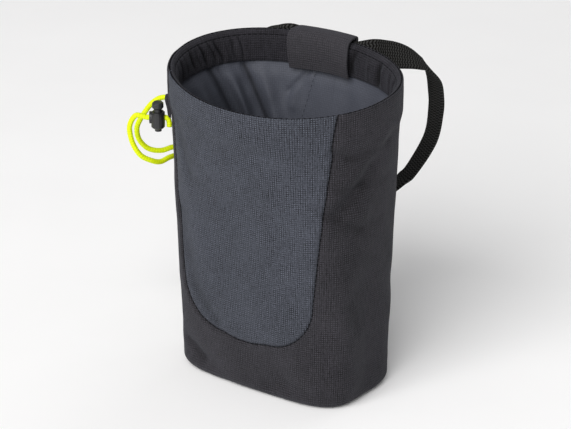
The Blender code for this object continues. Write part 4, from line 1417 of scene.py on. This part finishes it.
class CHALKBAG_OT_belt_tunnel(bpy.types.Operator):
    """Makes the strip folded over the rim at the back"""

    bl_idname = "chalkbag.belt_tunnel"
    bl_label = "Belt tunnel"

    def profile(self, sizes, curl, share):
        """Distance inside the wall's surface and below the rim, and how far that row of the
        strip leans to +X, at its -X edge and at its +X edge, all in metres."""
        slack = 0.0005
        face = 0.0062
        lift = sizes.tunnel_curl * curl
        back = -(BELT_GAP + sizes.belt_thick + slack)
        over = -(sizes.belt_above + slack + 0.0006 * share)
        low = sizes.belt_width - sizes.belt_above + slack
        inside = sizes.tunnel_inside - 0.0011 - 0.0017 * share
        skew, lean = sizes.tunnel_skew, sizes.tunnel_lean
        rows = (
            (face + 0.6 * lift, inside, 0.0017, lean + 0.0008),
            (face + 0.8 * lift + 0.0006, inside * 0.85, 0.0012, lean + 0.0006),
            (face + 0.8 * lift + 0.0012, inside * 0.60, 0.0004, lean + 0.0002),
            (face + 0.6 * lift + 0.0010, inside * 0.36, -0.0003, lean * 0.8),
            (face + 0.0004, inside * 0.16, -0.0007, lean * 0.3),
            (face * 0.85, 0.0006, -0.0004, 0.0),
            (face * 0.60, over * 0.6, skew * 0.2, 0.0),
            (face * 0.22, over * 0.95, skew * 0.6, -0.0003),
            (back * 0.3, over * 1.12, skew * 0.9, -0.0005),
            (back * 0.85, over * 0.8, skew, -0.0008),
            (back, over * 0.1, skew, -0.0008),
            (back, low * 0.5, skew * 0.7, -0.0008),
            (back * 0.97, low * 0.95, skew * 0.4, -0.0008),
            (back * 0.55, low + 0.0017, skew * 0.3, -0.0008),
            (-BELT_GAP, low + 0.0036, skew * 0.3, -0.0008),
            (-BELT_GAP, low + 0.0070, skew * 0.3, -0.0008),
        )
        return [(a, b, 0.0, c + (d - c) * share) for a, b, c, d in rows]

    def execute(self, context):
        sizes, colours, _ = parts(context)
        wall = Wall(sizes)
        left = wall.share_at_back(sizes.tunnel_left, sizes.height)
        right = wall.share_at_back(sizes.tunnel_right, sizes.height)
        leaning = (right - left) / (sizes.tunnel_right - sizes.tunnel_left)
        columns, uv = [], []
        strip_width = 0.0375
        for share in np.linspace(0, 1, TUNNEL_COLUMNS):
            curl = (max(0.0, share - 0.5) / 0.5) ** 2
            line = smooth_path(self.profile(sizes, curl, share), TUNNEL_ROWS)
            inset, below = line[:, 0], line[:, 1]
            place = left + (right - left) * share + line[:, 3] * leaning
            column = wall.place(place, sizes.height - below, inset)
            columns.append(column)
            across = np.full(len(line), share * strip_width)
            uv.append(np.stack([across, distance_along(column)], -1))
        points, uv = np.array(columns), np.array(uv)
        lump = lumps(points, TUNNEL_LUMPS)
        points[..., 2] += lump * 0.3
        points[..., 1] -= lump
        mesh = mesh_from_grids("tunnel_cloth", [(points, uv)])
        cloth = woven_cloth("tunnel_cloth", colours)
        piece = add_piece("tunnel_cloth", mesh, cloth, "belt_tunnel")
        solid = piece.modifiers.new("Cloth", "SOLIDIFY")
        solid.thickness = sizes.tunnel_cloth
        solid.offset = -1
        edge = piece.modifiers.new("Edge", "BEVEL")
        edge.width = sizes.tunnel_cloth * 0.35
        edge.segments = 2
        edge.limit_method = "ANGLE"
        edge.angle_limit = math.radians(50)
        return {"FINISHED"}


class CHALKBAG_OT_waist_belt(bpy.types.Operator):
    """Sweeps the webbing along its loop and finishes its buckle"""

    bl_idname = "chalkbag.waist_belt"
    bl_label = "Waist belt"

    def rows(self, wall):
        s = wall.s
        table_gap = 0.0005

        def placed(table):
            for across, behind, up, *edge in table:
                x, y = across * s.rim_width / 2, behind * s.rim_depth / 2
                yield (x, y, table_gap + s.belt_thick / 2 + up * s.height, *edge)

        inside = []
        stand_off = -(BELT_GAP + s.belt_thick / 2)
        for way in np.linspace(0, 1, BELT_STEPS):
            x = s.tunnel_right + (s.tunnel_left - s.tunnel_right) * way
            share = wall.share_at_back(x, s.height)
            above = s.belt_above + BELT_RISE * way**5
            top = wall.place(share, s.height + above, stand_off)
            low = wall.place(share, s.height + above - s.belt_width, stand_off)
            edge = (top - low) / np.linalg.norm(top - low)
            inside.append((*((top + low) / 2), *edge))
        return [*placed(BELT_RIGHT), *inside, *placed(BELT_LEFT)]

    def execute(self, context):
        sizes, colours, _ = parts(context)
        wall = Wall(sizes)
        path = smooth_path(self.rows(wall), BELT_ROWS)
        middles, edges = path[:, :3], path[:, 3:]
        across, through = self.section(sizes)
        first_lane = 0.02
        points, uv = [], []
        ways = zip(middles, edges, directions(middles), distance_along(middles))
        for middle, edge, run, far in ways:
            edge = square_to(run, edge)
            points.append(middle + edge * across + np.cross(run, edge) * through)
            uv.append(np.hstack([np.full_like(across, far), across + first_lane]))
        mesh = mesh_from_grids("belt_webbing", [(np.array(points), np.array(uv))])
        cloth = webbing_material("ribbed_webbing", colours.webbing)
        add_piece("belt_webbing", mesh, cloth, "waist_belt")
        mould(("belt_buckle",), colours)
        return {"FINISHED"}

    def section(self, sizes):
        """The webbing's section, as distances across and through it, with thinner edges."""
        lane = np.linspace(-1, 1, BELT_LANES) * (1 - 0.012)
        upper = [(a, 1.0) for a in lane] + [(1.0, 0.45), (1.0, -0.45)]
        lower = [(a, -1.0) for a in lane[::-1]] + [(-1.0, -0.45), (-1.0, 0.45)]
        section = np.array([*upper, *lower, upper[0]])
        return section[:, :1] * sizes.belt_width / 2, section[:, 1:] * sizes.belt_thick / 2


class CHALKBAG_OT_cord_tab(bpy.types.Operator):
    """Makes the small folded tape beside the cord lock"""

    bl_idname = "chalkbag.cord_tab"
    bl_label = "Cord tab"

    def execute(self, context):
        sizes, colours, _ = parts(context)
        wall = Wall(sizes)
        half = sizes.tab_width / 2 / wall.girth_at(sizes.tab_level)
        section = smooth_path(TAPE_SECTION, TAPE_COLUMNS)
        turns = np.linspace(-math.pi / 2, math.pi / 2, TAPE_ROWS)
        heights = sizes.tab_level * sizes.height + sizes.tab_height / 2 * np.sin(turns)
        plump = np.cos(turns) ** 0.25
        share = sizes.tab_share + half * section[None, :, 0] * np.ones((len(turns), 1))
        height = heights[:, None] * np.ones((1, len(section)))
        stand = 0.0002 + sizes.tab_stand * section[None, :, 1] * plump[:, None]
        points = wall.place(share, height, -stand)
        points = points - wall.out(share, height) * wall.dents(share, height)[..., None]
        uv = np.stack([share * wall.girth_at(1.0), height], -1)
        mesh = mesh_from_grids("tab_tape", [(points, uv)])
        cloth = woven_cloth("tape_cloth", colours)
        add_piece("tab_tape", mesh, cloth, "cord_tab")
        return {"FINISHED"}


class CHALKBAG_PT_panel(bpy.types.Panel):
    """Lists the bag's pieces in the sidebar"""

    bl_idname = "CHALKBAG_PT_panel"
    bl_label = "Chalk Bag"
    bl_space_type = "VIEW_3D"
    bl_region_type = "UI"
    bl_category = "Chalk Bag"

    def draw(self, context):
        layout = self.layout
        for operator in OPERATORS:
            layout.operator(operator.bl_idname)
        for group in parts(context):
            box = layout.box()
            for name in group.__annotations__:
                box.prop(group, name)


OPERATORS = (
    CHALKBAG_OT_stage,
    CHALKBAG_OT_draw_cord,
    CHALKBAG_OT_shell,
    CHALKBAG_OT_front_panel,
    CHALKBAG_OT_lining,
    CHALKBAG_OT_rim_band,
    CHALKBAG_OT_belt_tunnel,
    CHALKBAG_OT_waist_belt,
    CHALKBAG_OT_cord_tab,
)
CLASSES = (ChalkBagSizes, ChalkBagColours, ChalkBagStage, *OPERATORS, CHALKBAG_PT_panel)


def register():
    for kind in CLASSES:
        bpy.utils.register_class(kind)
    bpy.types.Scene.chalk_bag_sizes = PointerProperty(type=ChalkBagSizes)
    bpy.types.Scene.chalk_bag_colours = PointerProperty(type=ChalkBagColours)
    bpy.types.Scene.chalk_bag_stage = PointerProperty(type=ChalkBagStage)


def unregister():
    del bpy.types.Scene.chalk_bag_stage
    del bpy.types.Scene.chalk_bag_colours
    del bpy.types.Scene.chalk_bag_sizes
    for kind in reversed(CLASSES):
        bpy.utils.unregister_class(kind)


def main():
    register()
    for operator in OPERATORS:
        group, name = operator.bl_idname.split(".")
        getattr(getattr(bpy.ops, group), name)()


if __name__ == "__main__":
    main()
